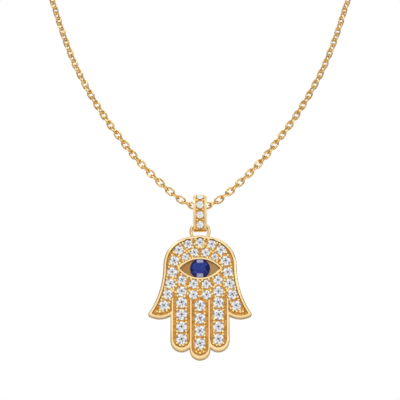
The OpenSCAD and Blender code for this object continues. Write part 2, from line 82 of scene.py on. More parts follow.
target = LOW + Vector((0, 0, LOW_BELOW_MIDDLE * MM_PER_PIXEL / math.cos(ELEVATION) * MM))
back_off = Vector((0, -math.cos(ELEVATION), math.sin(ELEVATION)))
lens = bpy.data.cameras.new("photo_camera")
lens.sensor_width = SENSOR
lens.lens = SENSOR * DISTANCE / (MM_PER_PIXEL * PHOTO_WIDTH)
lens.clip_start = 0.01
camera = bpy.data.objects.new("photo_camera", lens)
camera.location = target + DISTANCE * MM * back_off
camera.rotation_euler = (-back_off).to_track_quat("-Z", "Y").to_euler()
bpy.context.scene.collection.objects.link(camera)
bpy.context.scene.camera = camera
print("lens", round(lens.lens, 1), "mm, camera at", [round(c, 4) for c in camera.location])

# %% [markdown]
# ## The studio
#
# Polished gold has no look of its own: it shows what stands round it. A jeweller's
# photo tent is white in front, so flat faces go cream, and dimmer and warmer at the
# sides, so rounded edges get their brown lines. The world is built as such a tent,
# from the direction alone. Where the camera looks straight at it, it is plain white.

# %% World, lights and floor
FLOOR_Z = -0.26
FLOOR_HALF = 3.0
TENT_FRONT = (1.0, 0.97, 0.93)
TENT_SIDE = (0.22, 0.15, 0.10)
BACKGROUND = (1.0, 1.0, 1.0)
# Heights between which the tent's roof opens, and how bright it is beside the front
TOP_OPENING = (0.3, 1)
TOP_SHARE = 0.7
# Where the tent goes over from its dim sides to its bright front
FRONT_OPENING = (0.35, 0.95)
# Numbers of a colour mix node's sockets
MIX_FACTOR, MIX_FIRST, MIX_SECOND = 0, 6, 7
MIX_RESULT = 2


class Value:
    """One socket of a node tree, on which Python's operators add Math nodes."""

    def __init__(self, tree, socket):
        self.tree = tree
        self.socket = socket

    def math(self, operation, *others, clamp=False):
        node = self.tree.nodes.new("ShaderNodeMath")
        node.operation = operation
        node.use_clamp = clamp
        for slot, item in zip(node.inputs, (self, *others)):
            plug(self.tree, slot, item)
        return Value(self.tree, node.outputs[0])

    def __add__(self, other):
        return self.math("ADD", other)

    def __mul__(self, other):
        return self.math("MULTIPLY", other)

    def __sub__(self, other):
        return self.math("SUBTRACT", other)

    def __rsub__(self, other):
        return (self * -1) + other

    def __truediv__(self, other):
        return self.math("DIVIDE", other)

    def __abs__(self):
        return self.math("ABSOLUTE")

    __radd__ = __add__
    __rmul__ = __mul__

    def ramp(self, low, high):
        """0 below low and 1 above high, with a straight climb between them."""
        return ((self - low) / (high - low)).math("ADD", 0, clamp=True)


def plug(tree, slot, item):
    """Gives a socket a value, or links it to another socket."""
    if isinstance(item, Value):
        tree.links.new(item.socket, slot)
    elif isinstance(item, bpy.types.NodeSocket):
        tree.links.new(item, slot)
    elif slot.type == "RGBA" and len(item) == 3:
        slot.default_value = (*item, 1)
    else:
        slot.default_value = item


def add_node(tree, kind, settings=(), inputs=()):
    """One node of any kind: its settings first, then its sockets by name or number."""
    node = tree.nodes.new(kind)
    for name, value in dict(settings).items():
        setattr(node, name, value)
    for name, item in dict(inputs).items():
        plug(tree, node.inputs[name], item)
    return node


def mix_colours(tree, factor, a, b):
    """The colour a where factor is 0, and b where it is 1."""
    node = add_node(tree, "ShaderNodeMix", {"data_type": "RGBA"},
                    {MIX_FACTOR: factor, MIX_FIRST: a, MIX_SECOND: b})
    return Value(tree, node.outputs[MIX_RESULT])


def parts_of(tree, vector):
    """The three parts of a vector socket, each as a Value."""
    split = add_node(tree, "ShaderNodeSeparateXYZ", inputs={0: vector})
    return [Value(tree, socket) for socket in split.outputs]


world = bpy.data.worlds.new("photo_tent")
bpy.context.scene.world = world
world.use_nodes = True
sky = world.node_tree
sky.nodes.clear()
direction = add_node(sky, "ShaderNodeTexCoord").outputs["Generated"]
_, depth, height = parts_of(sky, direction)
# Bright in front and behind, and from straight above
opening = (abs(depth) + height.ramp(*TOP_OPENING) * TOP_SHARE).ramp(*FRONT_OPENING)
tent = mix_colours(sky, opening, TENT_SIDE, TENT_FRONT)
lit = add_node(sky, "ShaderNodeBackground", inputs={"Color": tent, "Strength": 1.0})
seen = add_node(sky, "ShaderNodeBackground", inputs={"Color": BACKGROUND, "Strength": 1.0})
looking = add_node(sky, "ShaderNodeLightPath").outputs["Is Camera Ray"]
both = add_node(sky, "ShaderNodeMixShader",
                inputs={0: looking, 1: lit.outputs[0], 2: seen.outputs[0]})
add_node(sky, "ShaderNodeOutputWorld", inputs={"Surface": both.outputs[0]})

# Lights as [place from the pendant in metres, width in metres, watts, colour]
LIGHTS = {
    "key": [(-0.22, -0.42, 0.34), 0.12, 0.3, (1.0, 0.98, 0.95)],
    "fill": [(0.34, -0.38, 0.12), 0.12, 0.15, (0.96, 0.98, 1.0)],
    "rear": [(0.10, 0.40, 0.36), 0.20, 0.2, (1.0, 0.98, 0.95)],
}
for name, (place, width, watts, colour) in LIGHTS.items():
    light = bpy.data.lights.new(name, "AREA")
    light.size = width
    light.energy = watts
    light.color = colour
    lamp = bpy.data.objects.new(name, light)
    lamp.location = HAND_TOP + Vector(place)
    lamp.rotation_euler = (HAND_TOP - lamp.location).to_track_quat("-Z", "Y").to_euler()
    bpy.context.scene.collection.objects.link(lamp)

floor_mesh = bpy.data.meshes.new("studio_floor")
corners = [(-1, -1), (1, -1), (1, 1), (-1, 1)]
places = [(x * FLOOR_HALF, y * FLOOR_HALF, FLOOR_Z) for x, y in corners]
floor_mesh.from_pydata(places, [], [(0, 1, 2, 3)])
floor = bpy.data.objects.new("studio_floor", floor_mesh)
bpy.context.scene.collection.objects.link(floor)
bpy.context.scene.view_settings.view_transform = "Standard"
print("lights:", len(LIGHTS), "floor at", FLOOR_Z)

# %% [markdown]
# ## Gold
#
# Gold is a bare metal, so its colour is the colour of what it reflects, times its own
# tint. Where light bounces twice the tint counts twice, which makes the corners of
# the tray a deep orange. The polish varies a little: hair-fine rubbing marks lie in
# the surface, and they come from noise on the object's own coordinates, so they stay
# put when a piece swings. The polished faces, the floor between the beads, the cut
# slope, the outer sides, the beads and the chain each have a tint of their own. These
# tints are painted light and shade: the floor between the beads, the cut slope and
# the outer sides get darker copies of the gold, painted shade for the dim parts of the
# room that they face.

# %% Gold finishes
def new_material(name):
    """An empty material with its Principled shader, as (material, tree, shader)."""
    material = bpy.data.materials.new(name)
    material.use_nodes = True
    tree = material.node_tree
    tree.nodes.clear()
    shader = add_node(tree, "ShaderNodeBsdfPrincipled")
    add_node(tree, "ShaderNodeOutputMaterial", inputs={"Surface": shader.outputs[0]})
    return material, tree, shader


def object_place(tree):
    return add_node(tree, "ShaderNodeTexCoord").outputs["Object"]


def noise_value(tree, size_mm, detail=2.0, stretch=(1, 1, 1)):
    """Noise from 0 to 1 whose blotches are about size_mm wide."""
    place = add_node(tree, "ShaderNodeVectorMath", {"operation": "MULTIPLY"},
                     {0: object_place(tree), 1: stretch})
    scale = 1 / (size_mm * MM)
    field = add_node(tree, "ShaderNodeTexNoise",
                     inputs={"Vector": place.outputs[0], "Scale": scale, "Detail": detail})
    return Value(tree, field.outputs[0])


# How far the roughness drifts, and where the darker tint sets in and is full
GLOSS_DRIFT = 0.12
TINT_DRIFT = (0.35, 0.75)
# How the marks are drawn out upwards, and how deep they are where bump is 1
MARK_STRETCH = (1, 1, 0.4)
MARK_DEPTH = 0.02 * MM


def gold(name, tint, dark_tint, roughness, bump, grain_mm=0.25, drift_mm=2.5):
    """Polished gold whose tint and gloss drift, with rubbing marks as deep as bump says."""
    material, tree, shader = new_material(name)
    drift = noise_value(tree, drift_mm)
    marks = noise_value(tree, grain_mm, 4.0, stretch=MARK_STRETCH)
    colour = mix_colours(tree, drift.ramp(*TINT_DRIFT), tint, dark_tint)
    plug(tree, shader.inputs["Base Color"], colour)
    plug(tree, shader.inputs["Roughness"], marks * GLOSS_DRIFT + (roughness - GLOSS_DRIFT / 2))
    shader.inputs["Metallic"].default_value = 1.0
    relief = add_node(tree, "ShaderNodeBump",
                      inputs={"Strength": bump, "Distance": MARK_DEPTH, "Height": marks})
    plug(tree, shader.inputs["Normal"], relief.outputs[0])
    return material


POLISHED = gold("polished_gold", (1.0, 0.80, 0.45), (0.98, 0.72, 0.34), 0.15, 0.10)
# Painted shade: the floor between the beads, the bail's channel and the stones' seats get a darker,
# deeper orange copy of the gold
TRAY_SHADE_GOLD = gold("bead_set_painted_shade", (0.80, 0.40, 0.085), (0.34, 0.14, 0.026), 0.3, 0.6,
                grain_mm=0.35, drift_mm=0.4)
# Painted shade: the cut slope and the walls down to the tray and round the bezel get a near-brown
# copy of the gold
WALL_SHADE_GOLD = gold("cut_slope_painted_shade", (0.30, 0.13, 0.03), (0.24, 0.09, 0.02), 0.2, 0.1)
# Painted shade: the outer sides and the halves of the rounded outer edges next to them get a darker
# copy of the gold
SIDE_SHADE_GOLD = gold("side_painted_shade", (0.58, 0.40, 0.15), (0.48, 0.31, 0.10), 0.3, 0.3)
BEAD_GOLD = gold("bead_gold", (1.0, 0.85, 0.46), (1.0, 0.74, 0.32), 0.2, 0.05, drift_mm=0.5)
CHAIN_GOLD = gold("chain_gold", (1.0, 0.76, 0.34), (0.54, 0.29, 0.06), 0.1, 0.06, drift_mm=0.4)
golds = (POLISHED, TRAY_SHADE_GOLD, WALL_SHADE_GOLD, SIDE_SHADE_GOLD, BEAD_GOLD, CHAIN_GOLD)
print("gold finishes:", [material.name for material in golds])

# %% [markdown]
# The floor of the eye is gold too, painted a dull bronze that fades to grey on the
# right: painted shade and reflection of the dim side of the tent, which it looks out
# at past the blue stone.

# %% Finish of the eye's floor
# Half of the floor's width, and the share of it over which its painted shade goes grey
EYE_HALF = 3.4 * MM
GREYER = 0.9


def eye_floor_painted_shade():
    material, tree, shader = new_material("eye_floor_painted_shade")
    across, _, _ = parts_of(tree, object_place(tree))
    # Painted shade and reflection: bronze on the left, greyer towards the right
    greyer = (across / EYE_HALF).ramp(-GREYER, GREYER)
    colour = mix_colours(tree, greyer, (0.44, 0.24, 0.08), (0.46, 0.285, 0.12))
    plug(tree, shader.inputs["Base Color"], colour)
    plug(tree, shader.inputs["Roughness"], noise_value(tree, 0.6) * 0.15 + 0.3)
    shader.inputs["Metallic"].default_value = 0.75
    return material


EYE_FLOOR = eye_floor_painted_shade()

# %% [markdown]
# ## Cut stones
#
# A brilliant-cut stone sends light back through its table, so its face is a star of
# bright and dark patches with a dark dot over the culet. At a millimetre and a half
# that pattern is all the eye gets. Tracing it through real glass is slow and noisy,
# so the stone is a true brilliant in shape, and its light is painted: each facet holds
# its own tone of painted reflection in a colour attribute, and the star is a painted
# reflection drawn in the shader from a UV map that looks straight down on the stone.
# The white stones also glow a little, as painted light.

# %% White and blue stone finishes
# Main facets round a stone, and so arms of its star
FACETS = 8
# Radii on a stone's face, where 1 is its girdle: where the star's arms start and end,
# the dark dot's edge, and where the grey patches start and end
ARM_START = (0.12, 0.24)
ARM_END = (0.46, 0.62)
DOT_EDGE = (0.13, 0.26)
PATCH_START = (0.56, 0.68)
PATCH_END = (0.9, 1.0)
# How dark the lesser arms and the patches are beside the darkest
ARM_SHARE = 0.62
PATCH_SHARE = 0.6
STONE_DARK = (0.04, 0.05, 0.09)
# Strength of the painted glow: a brilliant sends back more light to the eye than white paper would,
# so the white stones are made to emit a little of their own colour
PAINTED_GLOW = 0.2
# Where the blue stone's painted highlights, on its pale facets, start and end above and below
# its middle, and how far they reach to the sides
PALE_START = (0.5, 0.6)
PALE_END = (0.88, 0.95)
PALE_SIDE = (0.26, 0.36)
PALE_BLUE = (0.44, 0.47, 0.80)
# Size of its lighter specks in millimetres and where they end, and where its painted shade towards
# the edge sets in and is full
SPECK_MM = 0.14
SPECK_END = (0.55, 0.7)
SPECK_BLUE = (0.07, 0.13, 0.55)
EDGE_DARK = (0.6, 0.9)
EDGE_BLUE = (0.004, 0.008, 0.06)


def stone_face(tree):
    """Place on a stone's face as (across, up, radius), with radius 1 at its girdle."""
    face = add_node(tree, "ShaderNodeUVMap", {"uv_map": "face"}).outputs[0]
    u, v, _ = parts_of(tree, face)
    u = u * 2 - 1
    v = v * 2 - 1
    return u, v, (u * u + v * v).math("SQRT")


def facet_tones(tree):
    return add_node(tree, "ShaderNodeAttribute", {"attribute_name": "facet"}).outputs["Color"]


def white_stone(name, depth):
    """The white stones' painted reflections and painted glow, where depth says how dark the star
    and the dot are.
    """
    material, tree, shader = new_material(name)
    u, v, radius = stone_face(tree)
    angle = v.math("ARCTAN2", u)
    # Every second of the eight arms is the darker one. Beyond the table, grey patches
    # lie between them, and a dark dot lies over the culet.
    star = (angle * FACETS).math("COSINE").ramp(0.1, 0.8)
    cross = (angle * (FACETS / 2)).math("COSINE")
    reach = radius.ramp(*ARM_START) * (1 - radius.ramp(*ARM_END))
    broken = noise_value(tree, 0.3).ramp(0.3, 0.6)
    arms = (star * ARM_SHARE).math("MAXIMUM", cross.ramp(0.1, 0.7) * broken) * reach
    ring = radius.ramp(*PATCH_START) * (1 - radius.ramp(*PATCH_END))
    patches = (cross * -1).ramp(0.1, 0.8) * ring
    dot = 1 - radius.ramp(*DOT_EDGE)
    dark = arms.math("MAXIMUM", dot).math("MAXIMUM", patches * PATCH_SHARE) * depth
    colour = mix_colours(tree, dark, facet_tones(tree), STONE_DARK)
    plug(tree, shader.inputs["Base Color"], colour)
    # Painted glow, though the stones are no lamp
    plug(tree, shader.inputs["Emission Color"], colour)
    shader.inputs["Emission Strength"].default_value = PAINTED_GLOW
    shader.inputs["Roughness"].default_value = 0.04
    shader.inputs["IOR"].default_value = 1.45
    return material


def blue_stone():
    material, tree, shader = new_material("blue_stone")
    u, v, radius = stone_face(tree)
    # Painted highlight: the crown's upper and lower facets catch the tent, and are painted a pale
    # lavender
    height, side = abs(v), abs(u)
    caught = height.ramp(*PALE_START) * (1 - height.ramp(*PALE_END)) * (1 - side.ramp(*PALE_SIDE))
    specks = noise_value(tree, SPECK_MM, 3.0).ramp(0.5, 0.66) * (1 - radius.ramp(*SPECK_END))
    deep = mix_colours(tree, specks * 0.6, facet_tones(tree), SPECK_BLUE)
    # Painted shade, darker towards the girdle
    deep = mix_colours(tree, radius.ramp(*EDGE_DARK) * 0.65, deep, EDGE_BLUE)
    colour = mix_colours(tree, caught * 0.9, deep, PALE_BLUE)
    plug(tree, shader.inputs["Base Color"], colour)
    shader.inputs["Roughness"].default_value = 0.05
    shader.inputs["IOR"].default_value = 1.3
    return material


WHITE = white_stone("white_stone", 1)
PALE_WHITE = white_stone("pale_white_stone", 0.4)
BLUE = blue_stone()

# %% [markdown]
# ## One brilliant
#
# The crown has an eight-sided table, eight star facets, eight kites and sixteen upper
# girdle facets. Sixteen pavilion facets run down to the culet. A function builds it
# once with a diameter of 1, and every stone of the jewel is that mesh, turned and
# scaled. Its shares are the same as in the solid model.

# %% Brilliant-cut stone
# Shares of a stone's diameter: width of the table, heights of crown and girdle, and
# depths of the pavilion below the girdle, of the deep and of the shallow cut
TABLE = 0.56
CROWN = 0.15
GIRDLE = 0.04
DEEP = 0.42
SHALLOW = 0.3
# The crown's break between its upper and lower facets, as shares of the stone's radius
# and of the crown's height
CROWN_BREAK = (0.8, 0.5)


def ring_points(count, radius, z, turn):
    """Points round a circle, shifted by the share turn of a step."""
    angles = [2 * math.pi * (i + turn) / count for i in range(count)]
    return [(radius * math.cos(a), radius * math.sin(a), z) for a in angles]


def brilliant(name, pavilion, tones, seed):
    """A cut stone of diameter 1 with its table up and its girdle's foot at z = 0."""
    n = FACETS
    points = ring_points(n, TABLE / 2, GIRDLE + CROWN, 0.5)
    points += ring_points(n, CROWN_BREAK[0] / 2, GIRDLE + CROWN_BREAK[1] * CROWN, 0)
    points += ring_points(2 * n, 0.5, GIRDLE, 0)
    points += ring_points(2 * n, 0.5, 0, 0)
    points.append((0, 0, -pavilion))
    middle, upper, lower, culet = n, 2 * n, 4 * n, 6 * n
    faces = [tuple(range(n))]
    for i in range(n):
        j = (i + 1) % n
        tip = upper + 2 * i + 1
        faces += [(i, middle + j, j), (i, middle + i, tip), (i, tip, middle + j)]
        faces += [(middle + i, upper + 2 * i, tip), (middle + j, tip, upper + 2 * j)]
    for i in range(2 * n):
        j = (i + 1) % (2 * n)
        faces += [(upper + i, lower + i, lower + j, upper + j), (lower + i, culet, lower + j)]
    mesh = bpy.data.meshes.new(name)
    mesh.from_pydata(points, [], faces)
    draw = random.Random(seed)
    # A new layer moves the older ones, so both are made before either is used
    mesh.uv_layers.new(name="face")
    mesh.color_attributes.new("facet", "FLOAT_COLOR", "CORNER")
    face_map, colours = mesh.uv_layers["face"], mesh.color_attributes["facet"]
    for polygon in mesh.polygons:
        tone = tones[0] if polygon.index == 0 else draw.choice(tones[1:])
        for corner in polygon.loop_indices:
            x, y, _ = mesh.vertices[mesh.loops[corner].vertex_index].co
            face_map.data[corner].uv = (x + 0.5, y + 0.5)
            colours.data[corner].color = (*tone, 1)
    mesh.update()
    return mesh


# Tones of the facets, the table's first: painted reflections, over the blue stone's own blue for
# the blue ones
WHITE_TONES = [
    (0.79, 0.85, 0.89), (0.96, 0.99, 1.0), (0.88, 0.94, 0.96), (0.34, 0.38, 0.42),
    (0.70, 0.95, 0.86), (0.90, 0.82, 0.98), (0.50, 0.55, 0.60), (0.98, 0.94, 0.86),
]
BLUE_TONES = [
    (0.010, 0.028, 0.25), (0.007, 0.016, 0.15), (0.016, 0.045, 0.34), (0.008, 0.022, 0.20),
    (0.03, 0.06, 0.42), (0.005, 0.01, 0.09),
]
white_cut = brilliant("white_cut", DEEP, WHITE_TONES, seed=3)
shallow_cut = brilliant("shallow_cut", SHALLOW, WHITE_TONES, seed=5)
blue_cut = brilliant("blue_cut", SHALLOW, BLUE_TONES, seed=8)
print("a brilliant has", len(white_cut.polygons), "facets")

# %% [markdown]
# ## Scattering with Geometry Nodes
#
# The jewel has 44 stones and nearly 190 bead prongs. Copying each by hand would hide
# the rule, so a small Geometry Nodes tree puts one shape on many points. Each point
# carries its own size and turn as attributes. The tree ends in Realize Instances and
# Set Material, because an export drops instances.

# %% Tree that puts a shape on points
def open_tree(name, inputs):
    """A new tree with a geometry and these named inputs, as (tree, its input node)."""
    tree = bpy.data.node_groups.new(name, "GeometryNodeTree")
    for label, kind in {"Geometry": "Geometry", **inputs}.items():
        tree.interface.new_socket(name=label, in_out="INPUT", socket_type="NodeSocket" + kind)
    tree.interface.new_socket(name="Geometry", in_out="OUTPUT", socket_type="NodeSocketGeometry")
    return tree, tree.nodes.new("NodeGroupInput")


def close_tree(tree, placed, given):
    """Ends a tree: its instances are made real and get the material that it is given."""
    real = add_node(tree, "GeometryNodeRealizeInstances", inputs={0: placed.outputs[0]})
    dressed = add_node(tree, "GeometryNodeSetMaterial",
                       inputs={"Geometry": real.outputs[0], "Material": given.outputs["Material"]})
    out = tree.nodes.new("NodeGroupOutput")
    tree.links.new(dressed.outputs[0], out.inputs[0])
    return tree


def point_attribute(tree, kind, name):
    return add_node(tree, "GeometryNodeInputNamedAttribute", {"data_type": kind}, {"Name": name})


def scatter_tree():
    tree, given = open_tree("scatter", {"Shape": "Object", "Material": "Material", "Size": "Float"})
    shape = add_node(tree, "GeometryNodeObjectInfo", inputs={"Object": given.outputs["Shape"]})
    turn = point_attribute(tree, "QUATERNION", "turn")
    size = point_attribute(tree, "FLOAT", "size")
    scale = add_node(tree, "ShaderNodeMath", {"operation": "MULTIPLY"},
                     {0: size.outputs[0], 1: given.outputs["Size"]})
    placed = add_node(tree, "GeometryNodeInstanceOnPoints", inputs={
        "Points": given.outputs["Geometry"], "Instance": shape.outputs["Geometry"],
        "Rotation": turn.outputs[0], "Scale": scale.outputs[0]})
    return close_tree(tree, placed, given)


def link_object(name, mesh):
    made = bpy.data.objects.new(name, mesh)
    bpy.context.scene.collection.objects.link(made)
    return made


def run_tree(name, carrier, tree, values, helpers):
    """Runs a tree on a carrier mesh and returns the result as a plain mesh."""
    holder = link_object(name + "_carrier", carrier)
    modifier = holder.modifiers.new("nodes", "NODES")
    modifier.node_group = tree
    names = {s.name: s.identifier for s in tree.interface.items_tree if s.in_out == "INPUT"}
    for key, value in values.items():
        modifier[names[key]] = value
    bpy.context.view_layer.update()
    ready = holder.evaluated_get(bpy.context.evaluated_depsgraph_get())
    mesh = bpy.data.meshes.new_from_object(ready)
    mesh.name = name
    holder.modifiers.clear()
    for spare in (holder, *helpers):
        bpy.data.objects.remove(spare)
    return mesh


def scatter(name, shape, spots, material):
    """A mesh of the shape on each spot, where a spot is (place, turn, size in metres)."""
    carrier = bpy.data.meshes.new(name + "_points")
    carrier.from_pydata([place for place, _, _ in spots], [], [])
    carrier.attributes.new("turn", "QUATERNION", "POINT")
    carrier.attributes.new("size", "FLOAT", "POINT")
    for i, (_, turn, scale) in enumerate(spots):
        carrier.attributes["turn"].data[i].value = turn
        carrier.attributes["size"].data[i].value = scale
    helper = link_object(name + "_shape", shape)
    values = {"Shape": helper, "Material": material, "Size": 1.0}
    return run_tree(name, carrier, SCATTER, values, [helper])


SCATTER = scatter_tree()
print("scatter inputs:", [s.name for s in SCATTER.interface.items_tree if s.in_out == "INPUT"])

# %% [markdown]
# ## The hand's outline
#
# A goldsmith would draw this hand with a compass, and so does this cell. One arc makes
# the dome, one the shoulder, one hollow arc flares out to the thumb tip, and one
# closes the thumb below. Each finger ends in a half circle. Every arc keeps its centre
# when the line moves inwards, so the rim has the same width everywhere.

# %% Compass work for the hand
# Width of the palm, radius of its dome, how far down its waist lies, and radius of
# the hollow flare below the waist
PALM_W = 10.9
DOME_R = 8
WAIST_DROP = 4.5
FLARE_R = 13.1
# Centre and radius of the arc that closes the thumb, radius of its tip, and the least
# radius that the tip keeps on the lines further in
THUMB = (6, -9.35)
THUMB_R = 3.2
TIP_R = 0.25
TIP_LEAST = 0.1
# Pitch of the fingers, and depths of the walls' tops and of the centres on which the
# fingers' ends are drawn
FINGER_PITCH = 2.73
WALL_TOP = 9.45
FINGER_DROP = 15.85
MIDDLE_DROP = 17.2
# Widths of the rim, of the walls between the fingers, and of the rim at their ends
RIM_W = 0.48
WALL_W = 0.37
TIP_W = 0.65
STONE_GAP = 0.03
# Metal left between a seat that bites into the rim and the bite's wall
SEAT_STRIP = 0.012

SHOULDER_X = ((DOME_R - WAIST_DROP) ** 2 - (DOME_R - PALM_W / 2) ** 2) / (2 * (DOME_R - PALM_W / 2))
SHOULDER_R = PALM_W / 2 - SHOULDER_X
SHOULDER_A = math.degrees(math.atan2(DOME_R - WAIST_DROP, SHOULDER_X))
FLARE = (PALM_W / 2 + FLARE_R, -WAIST_DROP)
TRAY_R = (FINGER_PITCH - WALL_W) / 2
# Sides of the fingers outside, and of the thumb's tray, from the middle
FINGER_SIDE = FINGER_PITCH + TRAY_R + RIM_W
WALL_SIDE = 1.5 * FINGER_PITCH + WALL_W / 2


def polar(centre, r, angle):
    a = math.radians(angle)
    return (centre[0] + r * math.cos(a), centre[1] + r * math.sin(a))


def arc(centre, r, start, end, turn=6, step=0.18):
    """Points along an arc, with steps that are short both in angle and in length."""
    count = math.ceil(abs(end - start) * max(1 / turn, math.radians(r) / step))
    return [polar(centre, r, start + (end - start) * i / count) for i in range(count + 1)]


def crossing(p, rp, q, rq):
    """Where two circles cross, on the left of the way from p to q."""
    d = math.dist(p, q)
    along = (rp * rp - rq * rq + d * d) / (2 * d)
    off = math.sqrt(rp * rp - along * along)
    way = ((q[0] - p[0]) / d, (q[1] - p[1]) / d)
    return (p[0] + along * way[0] - off * way[1], p[1] + along * way[1] + off * way[0])


def heading(a, b):
    return math.degrees(math.atan2(b[1] - a[1], b[0] - a[0]))


def palm_side(inset, end_x):
    """Right half of the palm's outline, from the top to an upright at end_x."""
    r_tip = max(TIP_R - inset, TIP_LEAST)
    tip = crossing(FLARE, FLARE_R + inset + r_tip, THUMB, THUMB_R - inset - r_tip)
    flare_end, thumb_start = heading(FLARE, tip), heading(THUMB, tip)
    thumb_end = -math.degrees(math.acos((end_x - THUMB[0]) / (THUMB_R - inset)))
    return (arc((0, -DOME_R), DOME_R - inset, 90, SHOULDER_A)
            + arc((SHOULDER_X, -WAIST_DROP), SHOULDER_R - inset, SHOULDER_A, 0)
            + arc(FLARE, FLARE_R + inset, 180, flare_end + 360)
            + arc(tip, r_tip, flare_end + 180, thumb_start, turn=20)
            + arc(THUMB, THUMB_R - inset, thumb_start, thumb_end))


def finger_edge():
    r, middle_r = TRAY_R + RIM_W, TRAY_R + WALL_W
    meet = -math.degrees(math.acos((middle_r - FINGER_PITCH) / r))
    return (arc((FINGER_PITCH, -FINGER_DROP), r, 0, meet)
            + arc((0, -MIDDLE_DROP), middle_r, 0, -90))


def wall_end(x, stones):
    """Round top of the wall at x, which starts clear of the stones above it."""
    drop = WALL_TOP
    for sx, sz, d in stones:
        reach = (d + WALL_W) / 2 + 2 * STONE_GAP
        if abs(sx - x) < reach:
            drop = max(drop, math.sqrt(reach ** 2 - (sx - x) ** 2) - sz)
    return arc((x, -drop), WALL_W / 2, 0, 180, turn=20)


def tray_edge(stones):
    return (wall_end(1.5 * FINGER_PITCH, stones)
            + arc((FINGER_PITCH, TIP_W - RIM_W - FINGER_DROP), TRAY_R, 0, -180)
            + wall_end(0.5 * FINGER_PITCH, stones)
            + arc((0, TIP_W - WALL_W - MIDDLE_DROP), TRAY_R, 0, -90))


# Points nearer than this are one point
SAME = 0.002


def whole(half):
    """A closed outline, clockwise, from its right half."""
    right = [p for i, p in enumerate(half) if i == 0 or math.dist(p, half[i - 1]) > SAME]
    return right + [(-x, z) for x, z in reversed(right) if x > SAME]


def bitten(loop, stones):
    """A loop whose points inside a stone's seat are pushed out to the seat's edge."""
    out = []
    for p in loop:
        for x, z, d in stones:
            r = d / 2 + SEAT_STRIP + STONE_GAP
            if math.dist(p, (x, z)) < r:
                p = polar((x, z), r, heading((x, z), p))
        out.append(p)
    return out


# %% [markdown]
# ## Where the stones sit
#
# The white stones follow four simple rules: a row along the rim, a row on each side of
# the eye, pairs above the fingers, and four down each finger. Each row is a short
# table, and the right half is mirrored to the left.

# %% Stone places
EYE_W = 6.84
EYE_H = 3.38
EYE_RIM = 0.3
EYE_DROP = 5
EYE_R = ((EYE_W / 2) ** 2 + (EYE_H / 2) ** 2) / EYE_H
EYE_SHIFT = EYE_R - EYE_H / 2
RIM_STONE = 1.5
FINGER_STONE = 1.63
FINGER_STONE_PITCH = 1.84
# Stones along the rim, as [depth in palm lengths, gap to the rim, share of RIM_STONE]
RIM_ROW = [
    [0.137, -0.08, 0.89], [0.232, 0.05, 0.96], [0.404, 0.3, 1], [0.586, 0.11, 1],
    [0.771, 0.07, 1], [0.943, 0.11, 1], [1.12, 0.19, 1],
]
# The top middle stone, as its gap to the rim and its share of RIM_STONE
TOP_STONE = (-0.115, 0.89)
# Stones beside the eye, as [above or below, angle, gap to its bezel, diameter]
EYE_ROW = [
    [1, 9.5, 0.19, 1.27], [1, 26.6, 0.05, 1.08],
    [-1, 10.7, 0.07, 1.34], [-1, 31.5, 0.12, 1.38],
]
# Stones above the fingers, as [x in pitches, height over the wall tops, diameter]
LOW_ROW = [[0.362, 0.48, 1.38], [1, 1, 1.5]]
# Fingers, as [place, height of the lowest stone, share of the pitch]
FINGERS = [[-1, 0.21, 1], [0, 0.885, 1.033], [1, 0.21, 1]]
STONES_IN_FINGER = 4


def rim_stone(depth, gap, d):
    inset = RIM_W + d / 2 + gap
    rise = WAIST_DROP - depth
    if rise < 0:
        x = FLARE[0] - math.sqrt((FLARE_R + inset) ** 2 - rise * rise)
    elif rise > (SHOULDER_R - inset) * math.sin(math.radians(SHOULDER_A)):
        x = math.sqrt((DOME_R - inset) ** 2 - (DOME_R - depth) ** 2)
    else:
        x = SHOULDER_X + math.sqrt((SHOULDER_R - inset) ** 2 - rise * rise)
    return (x, -depth, d)


def eye_stone_place(side, angle, gap, d):
    r = EYE_R + d / 2 + gap
    a = math.radians(angle)
    return (r * math.sin(a), side * (r * math.cos(a) - EYE_SHIFT) - EYE_DROP, d)


right_half = [rim_stone(drop * WALL_TOP, gap, share * RIM_STONE) for drop, gap, share in RIM_ROW]
right_half += [eye_stone_place(*row) for row in EYE_ROW]
right_half += [(x * FINGER_PITCH, up - WALL_TOP, d) for x, up, d in LOW_ROW]
top_gap, top_share = TOP_STONE
palm_stones = [(0, -RIM_W - top_gap - top_share * RIM_STONE / 2, top_share * RIM_STONE)]
palm_stones += [(side * x, z, d) for side in (-1, 1) for x, z, d in right_half]
finger_stones = []
for place, lift, share in FINGERS:
    end = MIDDLE_DROP if place == 0 else FINGER_DROP
    for i in reversed(range(STONES_IN_FINGER)):
        height = lift - end + i * share * FINGER_STONE_PITCH
        finger_stones.append((place * FINGER_PITCH, height, FINGER_STONE))
stones = palm_stones + finger_stones
print("stones:", len(palm_stones), "in the palm and", len(finger_stones), "in the fingers")

# %% [markdown]
# ## Bead prongs
#
# Every stone is held by little beads that the setter raises from the metal. Where two
# stones are near neighbours, each has a bead on both sides of the way to the other. A
# spot is kept if it is clear of all stones, off the rim, and not on another bead. The
# right half is mirrored, and the thumb, the fingers and two bare spots on the middle
# line get theirs from short lists of angles and depths.

# %% Bead places
BEAD_R = 0.135
# Two stones share beads where they are nearer than this share of a bead's reach
BEAD_REACH = 1.14
# Angle between a shared bead and the line from its stone to the other one
BEAD_TURN = 44
# Shares of a bead's radius: least gap to a wall, half of the least distance of two
# beads, and the two gaps between which a bead would only graze a wall
BEAD_OFF = 0.1
BEAD_APART = 1.1
BEAD_GRAZE = (0.8, 1.15)
# Slack for a bead that stands just clear of a stone
BEAD_PLAY = 0.001
# Angles below the level, round a finger's lowest stone, in the middle finger's end at
# a distance from its wall, and round the thumb's last stone
END_BEADS = [42, 76, 104, 138]
TIP_BEADS = [50, 90, 130]
TIP_BEAD_IN = 0.33
THUMB_BEADS = [50, 84, 118, 150]
